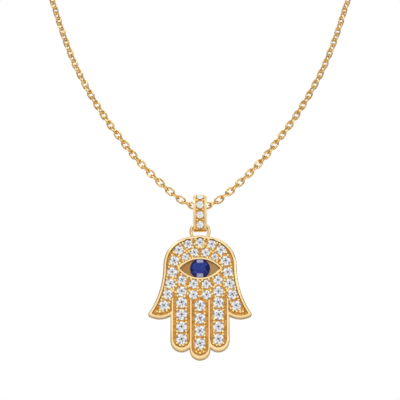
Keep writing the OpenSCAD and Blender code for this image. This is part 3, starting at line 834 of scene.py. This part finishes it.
# Beads that fill the thumb's corner, from its last stone
CORNER_BEADS = [(1.02, -0.93), (0.62, -1.0)]
# How much a step down counts beside one outwards, to find the thumb's last stone
THUMB_DOWN = 0.25
# Depths of two single beads on the middle line, in palm lengths
SPARE_BEADS = [0.873, 0.739]
EYE_CENTRES = [(0, side * EYE_SHIFT - EYE_DROP) for side in (-1, 1)]


def eye_gap(p):
    return max(math.dist(p, centre) for centre in EYE_CENTRES) - EYE_R


def edge_gap(p):
    """Distance from the outline, for a place in the palm."""
    q = (abs(p[0]), p[1])
    if q[1] < -WAIST_DROP:
        from_thumb = THUMB_R - math.dist(q, THUMB) if q[1] < THUMB[1] else THUMB_R
        return min(math.dist(q, FLARE) - FLARE_R, from_thumb)
    centre = (SHOULDER_X, -WAIST_DROP)
    if heading(centre, q) > SHOULDER_A:
        return DOME_R - math.dist(q, (0, -DOME_R))
    return SHOULDER_R - math.dist(q, centre)


def grazes(gap):
    return BEAD_GRAZE[0] * BEAD_R < gap < BEAD_GRAZE[1] * BEAD_R


def free(p):
    """True where a bead can stand in the palm."""
    least = BEAD_OFF * BEAD_R
    off_walls = p[1] > BEAD_R - WALL_TOP or abs(p[0]) > WALL_SIDE + least
    from_rim = edge_gap(p) - RIM_W
    off_rim = from_rim > least and not grazes(from_rim) and eye_gap(p) > least
    clear = min(math.dist(p, s[:2]) - s[2] / 2 for s in stones) > BEAD_R + STONE_GAP - BEAD_PLAY
    return off_walls and off_rim and clear


def settled(p):
    """Pushes a bead that would graze the bezel, or the wall by the thumb, into it."""
    if grazes(eye_gap(p)):
        centre = EYE_CENTRES[p[1] < -EYE_DROP]
        return polar(centre, EYE_R + BEAD_GRAZE[0] * BEAD_R, heading(centre, p))
    if p[1] < -WALL_TOP and grazes(p[0] - WALL_SIDE):
        return (WALL_SIDE + BEAD_GRAZE[0] * BEAD_R, p[1])
    return p


def beside(stone, angle):
    return polar(stone[:2], stone[2] / 2 + BEAD_R + STONE_GAP, angle)


right_beads = []
for a in stones:
    for b in stones:
        reach = (a[2] + b[2]) / 2 + 2 * (BEAD_R + STONE_GAP)
        if a == b or math.dist(a[:2], b[:2]) >= BEAD_REACH * reach:
            continue
        for side in (-1, 1):
            spot = beside(a, heading(a, b) + side * BEAD_TURN)
            if spot[0] <= BEAD_APART * BEAD_R:
                continue
            spot = settled(spot)
            apart = all(math.dist(spot, other) >= 2 * BEAD_APART * BEAD_R for other in right_beads)
            if apart and free(spot):
                right_beads.append(spot)
thumb_end = max(stones, key=lambda s: s[0] - THUMB_DOWN * s[1])
right_beads += [beside(thumb_end, -a) for a in THUMB_BEADS]
right_beads += [(thumb_end[0] + x, thumb_end[1] + z) for x, z in CORNER_BEADS]
beads = right_beads + [(-x, z) for x, z in right_beads]
for place, _, _ in FINGERS:
    column = [s for s in finger_stones if s[0] == place * FINGER_PITCH]
    for above, below in zip(column, column[1:]):
        beads += [beside(above, -90 + side * BEAD_TURN) for side in (-1, 1)]
        beads += [beside(below, 90 + side * BEAD_TURN) for side in (-1, 1)]
    beads += [beside(column[-1], -a) for a in END_BEADS]
tip_centre = (0, TIP_W - WALL_W - MIDDLE_DROP)
beads += [polar(tip_centre, TRAY_R - TIP_BEAD_IN, -a) for a in TIP_BEADS]
beads += [(0, -depth * WALL_TOP) for depth in SPARE_BEADS]
print("beads:", len(beads))

# %% [markdown]
# ## The casting
#
# The hand is one casting: a back plate, a raised rim with the finger walls, and the
# eye's bezel. It could be cut from a plate with Booleans, but then its edges would be
# knife-sharp. Instead the surface is laid down as closed loops, each a copy of an
# outline moved in or out and forward or back. Loops joined by quads make the walls and
# the round edges, and the flat areas between them are filled, with a drilled seat
# under every stone.

# %% Loops, walls and fills
HAND_T = 1.5
TRAY_DEPTH = 0.3
EYE_DEPTH = 0.45
# Radius of the rounded outer edges, and width and depth of the bright-cut slope that
# runs from the rim's flat face towards the tray
EDGE_R = 0.22
CUT_W = 0.07
CUT_DEPTH = 0.2
# Radius of the bezel's two rounded edges
BEZEL_R = 0.08
FRONT = -HAND_T / 2
TRAY_FLOOR = FRONT + TRAY_DEPTH
EYE_FLOOR_Y = FRONT + EYE_DEPTH
# Keeps the points of a sharp corner from moving further than twice the inset
CORNER_LEAST = 0.5
# Numbers of the finishes, and the finishes in that order
GOLD_FACE, SHADED_TRAY_FACE, SHADED_WALL_FACE, SHADED_SIDE_FACE, EYE_FACE = range(5)
CASTING_FINISHES = [POLISHED, TRAY_SHADE_GOLD, WALL_SHADE_GOLD, SIDE_SHADE_GOLD, EYE_FLOOR]


def shifted(loop, inset):
    """A clockwise loop moved to its right, into its area, by inset."""
    moved = []
    count = len(loop)
    for i, p in enumerate(loop):
        a, b = loop[i - 1], loop[(i + 1) % count]
        one = Vector((p[0] - a[0], p[1] - a[1])).normalized()
        two = Vector((b[0] - p[0], b[1] - p[1])).normalized()
        normal = Vector((one.y + two.y, -one.x - two.x)).normalized()
        stretch = 1 / max(normal.dot(Vector((one.y, -one.x))), CORNER_LEAST)
        moved.append((p[0] + inset * stretch * normal.x, p[1] + inset * stretch * normal.y))
    return moved


def rounding(steps=4):
    """Quarter circle as (share moved in, share moved back), from the flat to the wall."""
    quarter = [math.pi / 2 * i / steps for i in range(steps + 1)]
    return [(1 - math.sin(a), 1 - math.cos(a)) for a in quarter]


def mesh_of(name, bm):
    """The plain mesh that bm holds, after which bm is gone."""
    mesh = bpy.data.meshes.new(name)
    bm.to_mesh(mesh)
    bm.free()
    return mesh


def placed_mesh(name, bm, place, finishes):
    """The mesh of bm with outward normals, in metres at its place, with its finishes."""
    bmesh.ops.recalc_face_normals(bm, faces=bm.faces)
    mesh = mesh_of(name, bm)
    mesh.transform(Matrix.Translation(place) @ Matrix.Scale(MM, 4))
    for finish in finishes:
        mesh.materials.append(finish)
    return mesh


class Shell:
    """A mesh that grows from loops of a front view, at depths y behind the front."""

    def __init__(self):
        self.bm = bmesh.new()

    def loop(self, points, y):
        return [self.bm.verts.new((x, y, z)) for x, z in points]

    def wall(self, first, second, finish, smooth=True):
        """Quads between two loops of one count, facing left of the way round."""
        count = len(first)
        for i in range(count):
            j = (i + 1) % count
            face = self.bm.faces.new((first[i], first[j], second[j], second[i]))
            face.material_index = finish
            face.smooth = smooth

    def fill(self, loops, finish, towards_front=True):
        """A flat area bounded by loops, the first of which is the outer one."""
        edges = [self.bm.edges.get((a, b)) or self.bm.edges.new((a, b))
                 for ring in loops for a, b in zip(ring, ring[1:] + ring[:1])]
        made = bmesh.ops.triangle_fill(self.bm, edges=edges, use_beauty=True)
        for face in (f for f in made["geom"] if isinstance(f, bmesh.types.BMFace)):
            face.material_index = finish
            face.normal_update()
            if (face.normal.y < 0) != towards_front:
                face.normal_flip()

    def edge_round(self, points, r, y_flat, y_sign, finish, steep):
        """Loops of a rounded edge, from the flat face at y_flat to the wall. Its half by
        the wall has the finish steep. Where r is below zero, the flat face lies on the
        loop's outer side."""
        rows = [self.loop(shifted(points, r * inward), y_flat + y_sign * abs(r) * back)
                for inward, back in rounding()]
        middle = len(rows) // 2
        for i in range(len(rows) - 1):
            self.wall(rows[i], rows[i + 1], finish if i < middle else steep)
        return rows[0], rows[-1]


def circle(x, z, r, count=32):
    return [polar((x, z), r, -360 * i / count) for i in range(count)]


def lens_loop(inset):
    r = EYE_R - inset
    reach = math.degrees(math.acos(EYE_SHIFT / r))
    upper = arc((0, -EYE_SHIFT), r, 90 + reach, 90 - reach, turn=4)
    around = upper[:-1] + [(-x, -z) for x, z in upper[:-1]]
    return [(x, z - EYE_DROP) for x, z in around]


def casting_mesh():
    shell = Shell()
    outline = whole(palm_side(0, FINGER_SIDE) + finger_edge())
    tray = bitten(whole(palm_side(RIM_W, WALL_SIDE) + tray_edge(palm_stones)), palm_stones)
    eye_outer, eye_inner = lens_loop(0), lens_loop(EYE_RIM)
    # The half of each rounded outer edge next to the side, and the side itself, take the painted
    # shade of the sides
    back_flat, back_wall = shell.edge_round(outline, EDGE_R, HAND_T / 2, -1, GOLD_FACE, SHADED_SIDE_FACE)
    front_flat, front_wall = shell.edge_round(outline, EDGE_R, FRONT, 1, GOLD_FACE, SHADED_SIDE_FACE)
    shell.wall(front_wall, back_wall, SHADED_SIDE_FACE)
    shell.fill([back_flat], GOLD_FACE, towards_front=False)
    rim_flat = shell.loop(shifted(tray, -CUT_W), FRONT)
    rim_cut = shell.loop(tray, FRONT + CUT_DEPTH)
    shell.fill([front_flat, rim_flat], GOLD_FACE)
    shell.wall(rim_flat, rim_cut, SHADED_WALL_FACE, smooth=False)
    tray_foot = shell.loop(tray, TRAY_FLOOR)
    shell.wall(rim_cut, tray_foot, SHADED_WALL_FACE)
    bezel_out, bezel_wall = shell.edge_round(eye_outer, BEZEL_R, FRONT, 1, GOLD_FACE, GOLD_FACE)
    bezel_foot = shell.loop(eye_outer, TRAY_FLOOR)
    shell.wall(bezel_wall, bezel_foot, SHADED_WALL_FACE)
    bezel_in, inner_wall = shell.edge_round(eye_inner, -BEZEL_R, FRONT, 1, GOLD_FACE, GOLD_FACE)
    shell.fill([bezel_out, bezel_in], GOLD_FACE)
    eye_foot = shell.loop(eye_inner, EYE_FLOOR_Y)
    shell.wall(inner_wall, eye_foot, EYE_FACE)
    shell.fill([eye_foot], EYE_FACE)
    mouths = []
    for x, z, d in stones:
        r = d / 2 + STONE_GAP
        mouth = shell.loop(circle(x, z, r), TRAY_FLOOR)
        cone = shell.loop(circle(x, z, STONE_GAP), TRAY_FLOOR + DEEP * d + STONE_GAP)
        shell.wall(mouth, cone, SHADED_TRAY_FACE)
        shell.fill([cone], SHADED_TRAY_FACE)
        mouths.append(mouth)
    shell.fill([tray_foot, bezel_foot, *mouths], SHADED_TRAY_FACE)
    return placed_mesh("hand_casting", shell.bm, HAND_TOP, CASTING_FINISHES)


def show(name, mesh, body, slot_name, *nodes):
    """Shows a finished mesh as one piece of the jewel, in place of the solids it stands for."""
    piece = link_object(name, mesh)
    if nodes:
        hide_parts(*nodes)
    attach(piece, body)
    print(name, "has", sum(len(p.vertices) - 2 for p in mesh.polygons), "triangles")


show("hand_casting", casting_mesh(), "hand", "gold_setting", "hand_setting")

# %% [markdown]
# ## The ring on top
#
# A round wire is soldered upright on the hand, and the bail passes through it. It is a
# sweep of a circle along a circle. Its foot goes on inside the plate, as a soldered
# wire's does, so no seam shows.

# %% Ring of the hand
RING_WIRE = 0.48
RING_R = 1.35
# Angle by which each end of the wire goes on past the half circle, into the plate
RING_FOOT = 40
ACROSS = Vector((0, 1, 0))


def join_rings(bm, rings, closed=False):
    """Smooth quads from each ring of points to the next, and from the last to the first
    where the row is closed."""
    faces = []
    following = rings[1:] + (rings[:1] if closed else [])
    for one, two in zip(rings, following):
        for k in range(len(one)):
            after = (k + 1) % len(one)
            face = bm.faces.new((one[k], one[after], two[after], two[k]))
            face.smooth = True
            faces.append(face)
    return faces


def ring_wire(sides=16):
    """The ring's wire, a circle swept along its arc and closed by flat ends."""
    bm = bmesh.new()
    middle = (0, RING_HANG - RING_R)
    path = [Vector((x, 0, z)) for x, z in arc(middle, RING_R, -RING_FOOT, 180 + RING_FOOT, turn=5)]
    angles = [2 * math.pi * k / sides for k in range(sides)]
    rings = []
    for i, p in enumerate(path):
        before, after = path[max(i - 1, 0)], path[min(i + 1, len(path) - 1)]
        up = (after - before).normalized().cross(ACROSS)
        rings.append([bm.verts.new(p + RING_WIRE / 2 * (math.cos(a) * ACROSS + math.sin(a) * up))
                      for a in angles])
    join_rings(bm, rings)
    bm.faces.new(rings[0])
    bm.faces.new(rings[-1])
    return placed_mesh("hand_ring", bm, HAND_TOP, [POLISHED])


show("hand_ring", ring_wire(), "hand", "gold_setting")

# %% [markdown]
# A bead is pushed up with a round punch, so its top is flatter than a ball and it laps
# over its stone's edge. One such bead is scattered over all the places found before.

# %% Beads of the hand
UPRIGHT = (1, 0, 0, 0)
# How far a bead's middle stands before the tray's floor, as a share of its radius
BEAD_LIFT = 0.3
# The higher, the flatter a bead's ends
BEAD_PRESS = 2.2
# Share by which pressing widens a bead, which laps it over its stone's edge
BEAD_SPREAD = 1.6


def bead_shape(name, rings=8, sides=12):
    """A ball of radius 1 whose ends, towards +Y and -Y, are pressed flatter."""
    bm = bmesh.new()
    bmesh.ops.create_uvsphere(bm, u_segments=sides, v_segments=rings, radius=1)
    for vertex in bm.verts:
        x, y, z = vertex.co
        pressed = 1 - (1 - min(abs(z), 1)) ** BEAD_PRESS
        vertex.co = (x, -math.copysign(pressed, z), y)
    for face in bm.faces:
        face.smooth = True
    return mesh_of(name, bm)


bead_y = TRAY_FLOOR - BEAD_LIFT * BEAD_R
wide_bead = BEAD_SPREAD * BEAD_R * MM
bead_spots = [(HAND_TOP + MM * Vector((x, bead_y, z)), UPRIGHT, wide_bead) for x, z in beads]
bead_mesh = scatter("hand_beads", bead_shape("bead"), bead_spots, BEAD_GOLD)
show("hand_beads", bead_mesh, "hand", "gold_setting")

# %% [markdown]
# ## White stones of the hand
#
# No setter lines the facets up, so each stone is turned by its own angle about its
# axis. The draw has a fixed seed, so the jewel is the same each time.

# %% Stones on the tray
FACE_FRONT = Matrix.Rotation(math.pi / 2, 3, "X")
TURN_SEED = 12
draw = random.Random(TURN_SEED)


def turned(base, angle):
    return tuple((base @ Matrix.Rotation(angle, 3, "Z")).to_quaternion())


stone_spots = []
for x, z, d in stones:
    place = HAND_TOP + MM * Vector((x, TRAY_FLOOR, z))
    stone_spots.append((place, turned(FACE_FRONT, draw.uniform(0, math.pi)), d * MM))
stone_mesh = scatter("white_stones", white_cut, stone_spots, WHITE)
tray_nodes = [n for n in frame["nodes"] if n.startswith(("palm_stone_", "finger_stone_"))]
show("white_stones", stone_mesh, "hand", "white_stone", *tray_nodes)

# %% [markdown]
# ## The blue stone
#
# The eye holds one larger stone, whose girdle sits under the bezel's lip. Its facets
# keep upright, so that the two pale ones look up and down as in the photo.

# %% Stone of the eye
EYE_STONE = 3.0
# Thickness of the bezel's lip, and its play over the stone
LIP = 0.13
LIP_PLAY = 0.1
eye_girdle = FRONT + LIP + GIRDLE * EYE_STONE + LIP_PLAY
eye_place = HAND_TOP + MM * Vector((0, eye_girdle, -EYE_DROP))
eye_mesh = scatter("blue_eye", blue_cut, [(eye_place, turned(FACE_FRONT, 0), EYE_STONE * MM)], BLUE)
show("blue_eye", eye_mesh, "hand", "blue_stone", "eye_stone")

# %% [markdown]
# ## The bail
#
# The bail is a band bent round the chain and through the ring. It could be a curve
# with a bevel, but its front has rails with a channel between them, so it is swept:
# one section across the band is carried round its two bends, and the channel's floor
# rises to the surface past the last stones.

# %% Band of the bail
BAIL_W = 2.02
# Radii of the upper and the lower bend outside, and inside where the chain and the
# ring pass, and the drop from one bend's centre to the other's
TOP_R, LOW_R = 1.75, 1.42
CHAIN_R, RING_IN_R = 1.0, 0.97
BAIL_DROP = 2.5
# How far the outer bends lie before the inner ones, which makes the front thicker
FORWARD = 0.12
# The channel's width and depth, and the angles from the front at which it ends
CHANNEL_W = 1.26
CHANNEL_DEPTH = 0.14
CHANNEL_TOP, CHANNEL_LOW = 72, 60
# Angle over which the channel's floor rises to the surface
CHANNEL_RISE = 4
BEND_STEPS = 40
# Size of the band's softened edges, and shares of it for the corners between
SOFT = 0.08
CORNER_SHARE = 0.3
RAIL_SHARE = 0.5
SHARP_ANGLE = math.radians(40)
TILT = math.degrees(math.asin((TOP_R - LOW_R) / BAIL_DROP))
# Number of the channel's finish, and how near two points are one
CHANNEL_FACE = 1
SAME_PLACE = 0.001


def bail_stations():
    """Places round the band, as (outer, inner, depth of the channel), seen from the side."""
    bends = [
        (0, TOP_R, CHAIN_R, -TILT, 180 + TILT, CHANNEL_TOP),
        (-BAIL_DROP, LOW_R, RING_IN_R, 180 + TILT, 360 - TILT, CHANNEL_LOW),
    ]
    stations = []
    for z, out_r, in_r, start, end, limit in bends:
        for i in range(BEND_STEPS + 1):
            a = start + (end - start) * i / BEND_STEPS
            from_front = abs((a + 360) % 360 - 180)
            sunk = CHANNEL_DEPTH * min(max((limit - from_front) / CHANNEL_RISE, 0), 1)
            stations.append((polar((-FORWARD, z), out_r, a), polar((0, z), in_r, a), sunk))
    return stations


def band_section(outer, inner, sunk):
    """Points of one section across the band, all round it."""
    half, groove = BAIL_W / 2, CHANNEL_W / 2
    corner, rail = CORNER_SHARE * SOFT, RAIL_SHARE * SOFT
    out, inn = Vector(outer), Vector(inner)
    way = (out - inn).normalized()
    side = [
        (half - SOFT, inn), (half, inn + SOFT * way), (half, out - SOFT * way),
        (half - corner, out - corner * way), (half - SOFT, out), (groove + rail, out),
        (groove, out - min(rail, sunk) * way), (groove, out - sunk * way),
    ]
    row = side + [(-x, p) for x, p in reversed(side)]
    return [Vector((x, p.x, p.y)) for x, p in row]


def band_mesh():
    bm = bmesh.new()
    stations = bail_stations()
    rows = [[bm.verts.new(p) for p in band_section(*station)] for station in stations]
    faces = join_rings(bm, rows, closed=True)
    count = len(rows[0])
    # Of the strips round a section, this one is the channel's floor
    middle = count // 2 - 1
    for i, (_, _, sunk) in enumerate(stations):
        if sunk > 0:
            faces[i * count + middle].material_index = CHANNEL_FACE
    bmesh.ops.remove_doubles(bm, verts=bm.verts, dist=SAME_PLACE)
    mesh = placed_mesh("bail_band", bm, LOW, [POLISHED, TRAY_SHADE_GOLD])
    mesh.set_sharp_from_angle(angle=SHARP_ANGLE)
    return mesh


show("bail_band", band_mesh(), "bail", "gold_bail", "bail")

# %% [markdown]
# Four stones run down the channel. Two beads, one on each side, stand above the row,
# between each two stones and below it. All places are measured along the band from the
# first stone, over the top bend, down the leaning side and round the bottom bend.

# %% Stones and beads of the bail
BAIL_STONES = 4
BAIL_STONE = 1.1
BAIL_PITCH = 1.53
# Angle of the first stone over the upper bend's centre
BAIL_FIRST = 48
# Lengths of the band from the first stone to the leaning side, and of that side
BEND_LEN = math.radians(BAIL_FIRST + TILT) * TOP_R
SIDE_LEN = BAIL_DROP * math.cos(math.radians(TILT))
BAIL_BEAD_R = 0.11
BAIL_BEAD_SIDE = 0.44


def bail_spot(s, x):
    """Place and facing on the band's front, at a distance s below its first stone."""
    run = 0
    if s < BEND_LEN:
        centre, r, a = 0, TOP_R, BAIL_FIRST - math.degrees(s / TOP_R)
    elif s < BEND_LEN + SIDE_LEN:
        centre, r, a = 0, TOP_R, -TILT
        run = s - BEND_LEN
    else:
        past = math.degrees((s - BEND_LEN - SIDE_LEN) / LOW_R)
        centre, r, a = -BAIL_DROP, LOW_R, -TILT - past
    r -= CHANNEL_DEPTH
    t, lean = math.radians(a), math.radians(TILT)
    y = -FORWARD - r * math.cos(t) + run * math.sin(lean)
    z = centre + r * math.sin(t) - run * math.cos(lean)
    facing = Matrix.Rotation(math.pi / 2 - t, 3, "X")
    return LOW + MM * Vector((x, y, z)), facing


bail_stones = []
for i in range(BAIL_STONES):
    place, facing = bail_spot(i * BAIL_PITCH, 0)
    bail_stones.append((place, turned(facing, draw.uniform(0, math.pi)), BAIL_STONE * MM))
bail_beads = []
for i in range(BAIL_STONES + 1):
    for side in (-1, 1):
        place, facing = bail_spot((i - 0.5) * BAIL_PITCH, side * BAIL_BEAD_SIDE)
        upright = facing @ FACE_FRONT.inverted()
        bail_beads.append((place, turned(upright, 0), BEAD_SPREAD * BAIL_BEAD_R * MM))
bail_nodes = [f"bail_stone_{i + 1}" for i in range(BAIL_STONES)]
bail_stone_mesh = scatter("bail_stones", shallow_cut, bail_stones, PALE_WHITE)
bail_bead_mesh = scatter("bail_beads", bead_shape("bail_bead"), bail_beads, BEAD_GOLD)
show("bail_stones", bail_stone_mesh, "bail", "white_stone", *bail_nodes)
show("bail_beads", bail_bead_mesh, "bail", "gold_bail")

# %% [markdown]
# ## The chain
#
# A cable chain is one link, repeated nearly 400 times, each turned a quarter round from
# its neighbour. That is just what Geometry Nodes do well: a curve is resampled so that
# there is a point for each link, every point gets a frame from the curve's direction
# and from the way that leads out from the neck, and every second link is rolled by
# 90 degrees. The route is the one that the solids follow, from the lowest point up the
# right side to the nape.

# %% Route of the chain
ROUTE = [
    (0, 0, 0), (0.9, 0, 0.1), (1.8, 0.02, 0.4), (2.7, 0.07, 0.95), (3.7, 0.16, 1.7),
    (6.4, 0.6, 4.2), (7.9, 1, 5.8), (9.4, 1.5, 7.5), (10.7, 2, 9.2), (11.9, 2.5, 10.9),
    (13.1, 3.1, 12.6), (15.2, 4.2, 15.9), (17.1, 5.3, 19.3), (18.8, 6.5, 22.8),
    (20.2, 7.7, 26.3), (21.4, 8.9, 29.8), (22.5, 10.2, 33.4), (24.4, 13, 39.5),
    (27, 17.4, 46), (30.6, 23.4, 52.4), (35, 31, 58.5), (39.6, 40.2, 64),
    (43.6, 51, 68.8), (46.2, 63, 72.8), (47, 75.4, 76.2), (45.6, 87.6, 79),
    (41.4, 98.6, 81.3), (34.2, 107.6, 83), (24.6, 114, 84.2), (12.8, 117.4, 84.8),
    (0, 118, 85),
]
CURVE_STEPS = 10
LINK_WIRE = 0.3
LINK_W = 1.16
LINK_PITCH = 1.04
# Play between two links, which makes a link longer than its neighbours need
LINK_GAP = 0.14
LINK_L = LINK_PITCH + 2 * LINK_WIRE + LINK_GAP
CLASP_L = 9
# How far the last link's end goes into the clasp
LINK_OVERLAP = 0.25


def smooth_route(points):
    """The curve through the points, its slopes weighted by their spacing."""
    points = [Vector(p) for p in points]
    mirrored = Vector((-1, 1, 1))
    line = [points[1] * mirrored, *points, points[-2] * mirrored]
    slopes = []
    for before, here, after in zip(line, line[1:], line[2:]):
        da, db = (here - before).length, (after - here).length
        slopes.append(((here - before) / da * db + (after - here) / db * da) / (da + db))
    curve = []
    for a, b, ma, mb in zip(points, points[1:], slopes, slopes[1:]):
        d = (b - a).length
        for k in range(CURVE_STEPS):
            t = k / CURVE_STEPS
            curve.append((2 * t ** 3 - 3 * t * t + 1) * a + (t ** 3 - 2 * t * t + t) * d * ma
                         + (3 * t * t - 2 * t ** 3) * b + (t ** 3 - t * t) * d * mb)
    return curve + [points[-1]]


half_route = smooth_route(ROUTE)
reach = sum((b - a).length for a, b in zip(half_route, half_route[1:]))
last_link = reach - CLASP_L / 2 + LINK_OVERLAP - LINK_L / 2
side_links = 2 * round(last_link / LINK_PITCH / 2)
cut, run = [half_route[0]], 0
for a, b in zip(half_route, half_route[1:]):
    step = (b - a).length
    if run + step >= last_link:
        cut.append(a.lerp(b, (last_link - run) / step))
        break
    cut.append(b)
    run += step
loop_points = [Vector((-p.x, p.y, p.z)) for p in reversed(cut[1:])] + cut
print("chain:", round(2 * reach, 1), "mm,", 2 * side_links + 1, "links, pitch",
      round(last_link / side_links, 4), "mm")

# %% [markdown]
# The link is bent wire, with six sides round the wire and five steps round each bend.
# That is coarse, but there are nearly 400 of it, and smooth shading hides the steps.

# %% One link, and the tree that strings the chain
# Angle by which the whole row of links is turned about its own line
LINK_ROLL = math.radians(20)
QUARTER = math.pi / 2


def link_mesh(sides=6, bend_steps=5):
    bend_r = (LINK_W - LINK_WIRE) / 2
    half_bar = (LINK_L - LINK_W) / 2
    path = []
    for centre, start in ((half_bar, -90), (-half_bar, 90)):
        for i in range(bend_steps + 1):
            a = start + 180 * i / bend_steps
            path.append((polar((centre, 0), bend_r, a), math.radians(a)))
    bm = bmesh.new()
    rings = []
    for (x, y), out in path:
        ring = []
        for k in range(sides):
            b = 2 * math.pi * (k + 0.5) / sides
            off = LINK_WIRE / 2 * math.cos(b)
            ring.append(bm.verts.new((x + off * math.cos(out), y + off * math.sin(out),
                                      LINK_WIRE / 2 * math.sin(b))))
        rings.append(ring)
    join_rings(bm, rings, closed=True)
    bmesh.ops.recalc_face_normals(bm, faces=bm.faces)
    return mesh_of("link", bm)


def chain_tree():
    tree, given = open_tree("string_links", {"Link": "Object", "Material": "Material",
                                             "Links": "Int", "Size": "Float"})
    line = add_node(tree, "GeometryNodeMeshToCurve", inputs={"Mesh": given.outputs["Geometry"]})
    even = add_node(tree, "GeometryNodeResampleCurve",
                    inputs={"Curve": line.outputs[0], "Count": given.outputs["Links"]})
    along = add_node(tree, "GeometryNodeInputTangent")
    outward = point_attribute(tree, "FLOAT_VECTOR", "outward")
    frame_of = add_node(tree, "FunctionNodeAxesToRotation",
                        {"primary_axis": "X", "secondary_axis": "Z"},
                        {0: along.outputs[0], 1: outward.outputs[0]})
    number = add_node(tree, "GeometryNodeInputIndex")
    odd = add_node(tree, "ShaderNodeMath", {"operation": "MODULO"}, {0: number.outputs[0], 1: 2.0})
    # The middle link has an even number and stands upright
    quarter = add_node(tree, "ShaderNodeMath", {"operation": "MULTIPLY_ADD"},
                       {0: odd.outputs[0], 1: -QUARTER, 2: LINK_ROLL + QUARTER})
    roll = add_node(tree, "FunctionNodeAxisAngleToRotation",
                    inputs={"Axis": (1, 0, 0), "Angle": quarter.outputs[0]})
    rolled = add_node(tree, "FunctionNodeRotateRotation", {"rotation_space": "LOCAL"},
                      {0: frame_of.outputs[0], 1: roll.outputs[0]})
    link = add_node(tree, "GeometryNodeObjectInfo", inputs={"Object": given.outputs["Link"]})
    strung = add_node(tree, "GeometryNodeInstanceOnPoints", inputs={
        "Points": even.outputs[0], "Instance": link.outputs["Geometry"],
        "Rotation": rolled.outputs[0], "Scale": given.outputs["Size"]})
    return close_tree(tree, strung, given)


def chain_mesh():
    carrier = bpy.data.meshes.new("chain_route")
    steps = [(i, i + 1) for i in range(len(loop_points) - 1)]
    carrier.from_pydata([LOW + MM * p for p in loop_points], steps, [])
    outward = carrier.attributes.new("outward", "FLOAT_VECTOR", "POINT")
    neck_y = ROUTE[-1][1] / 2
    for i, p in enumerate(loop_points):
        outward.data[i].vector = (p.x, p.y - neck_y, 0)
    helper = link_object("link_shape", link_mesh())
    values = {"Link": helper, "Material": CHAIN_GOLD, "Links": 2 * side_links + 1, "Size": MM}
    return run_tree("cable_chain", carrier, chain_tree(), values, [helper])


show("cable_chain", chain_mesh(), "chain", "gold_chain", "chain_front", "chain_back")

# %% [markdown]
# ## The clasp
#
# The photo doesn't show how the chain closes, so the clasp is one plain barrel at the
# nape. Its shape in the solid model is right, and all it needs is its gold.

# %% Finish of the clasp
clasp = frame["nodes"]["clasp"]
clasp.data.materials.clear()
clasp.data.materials.append(POLISHED)

# %% [markdown]
# ## Floor finish
#
# The floor stays plain and pale.

# %% Floor
floor_material, _, floor_shader = new_material("studio_floor")
floor_shader.inputs["Base Color"].default_value = (0.86, 0.85, 0.84, 1)
floor_shader.inputs["Roughness"].default_value = 0.9
floor_mesh.materials.append(floor_material)
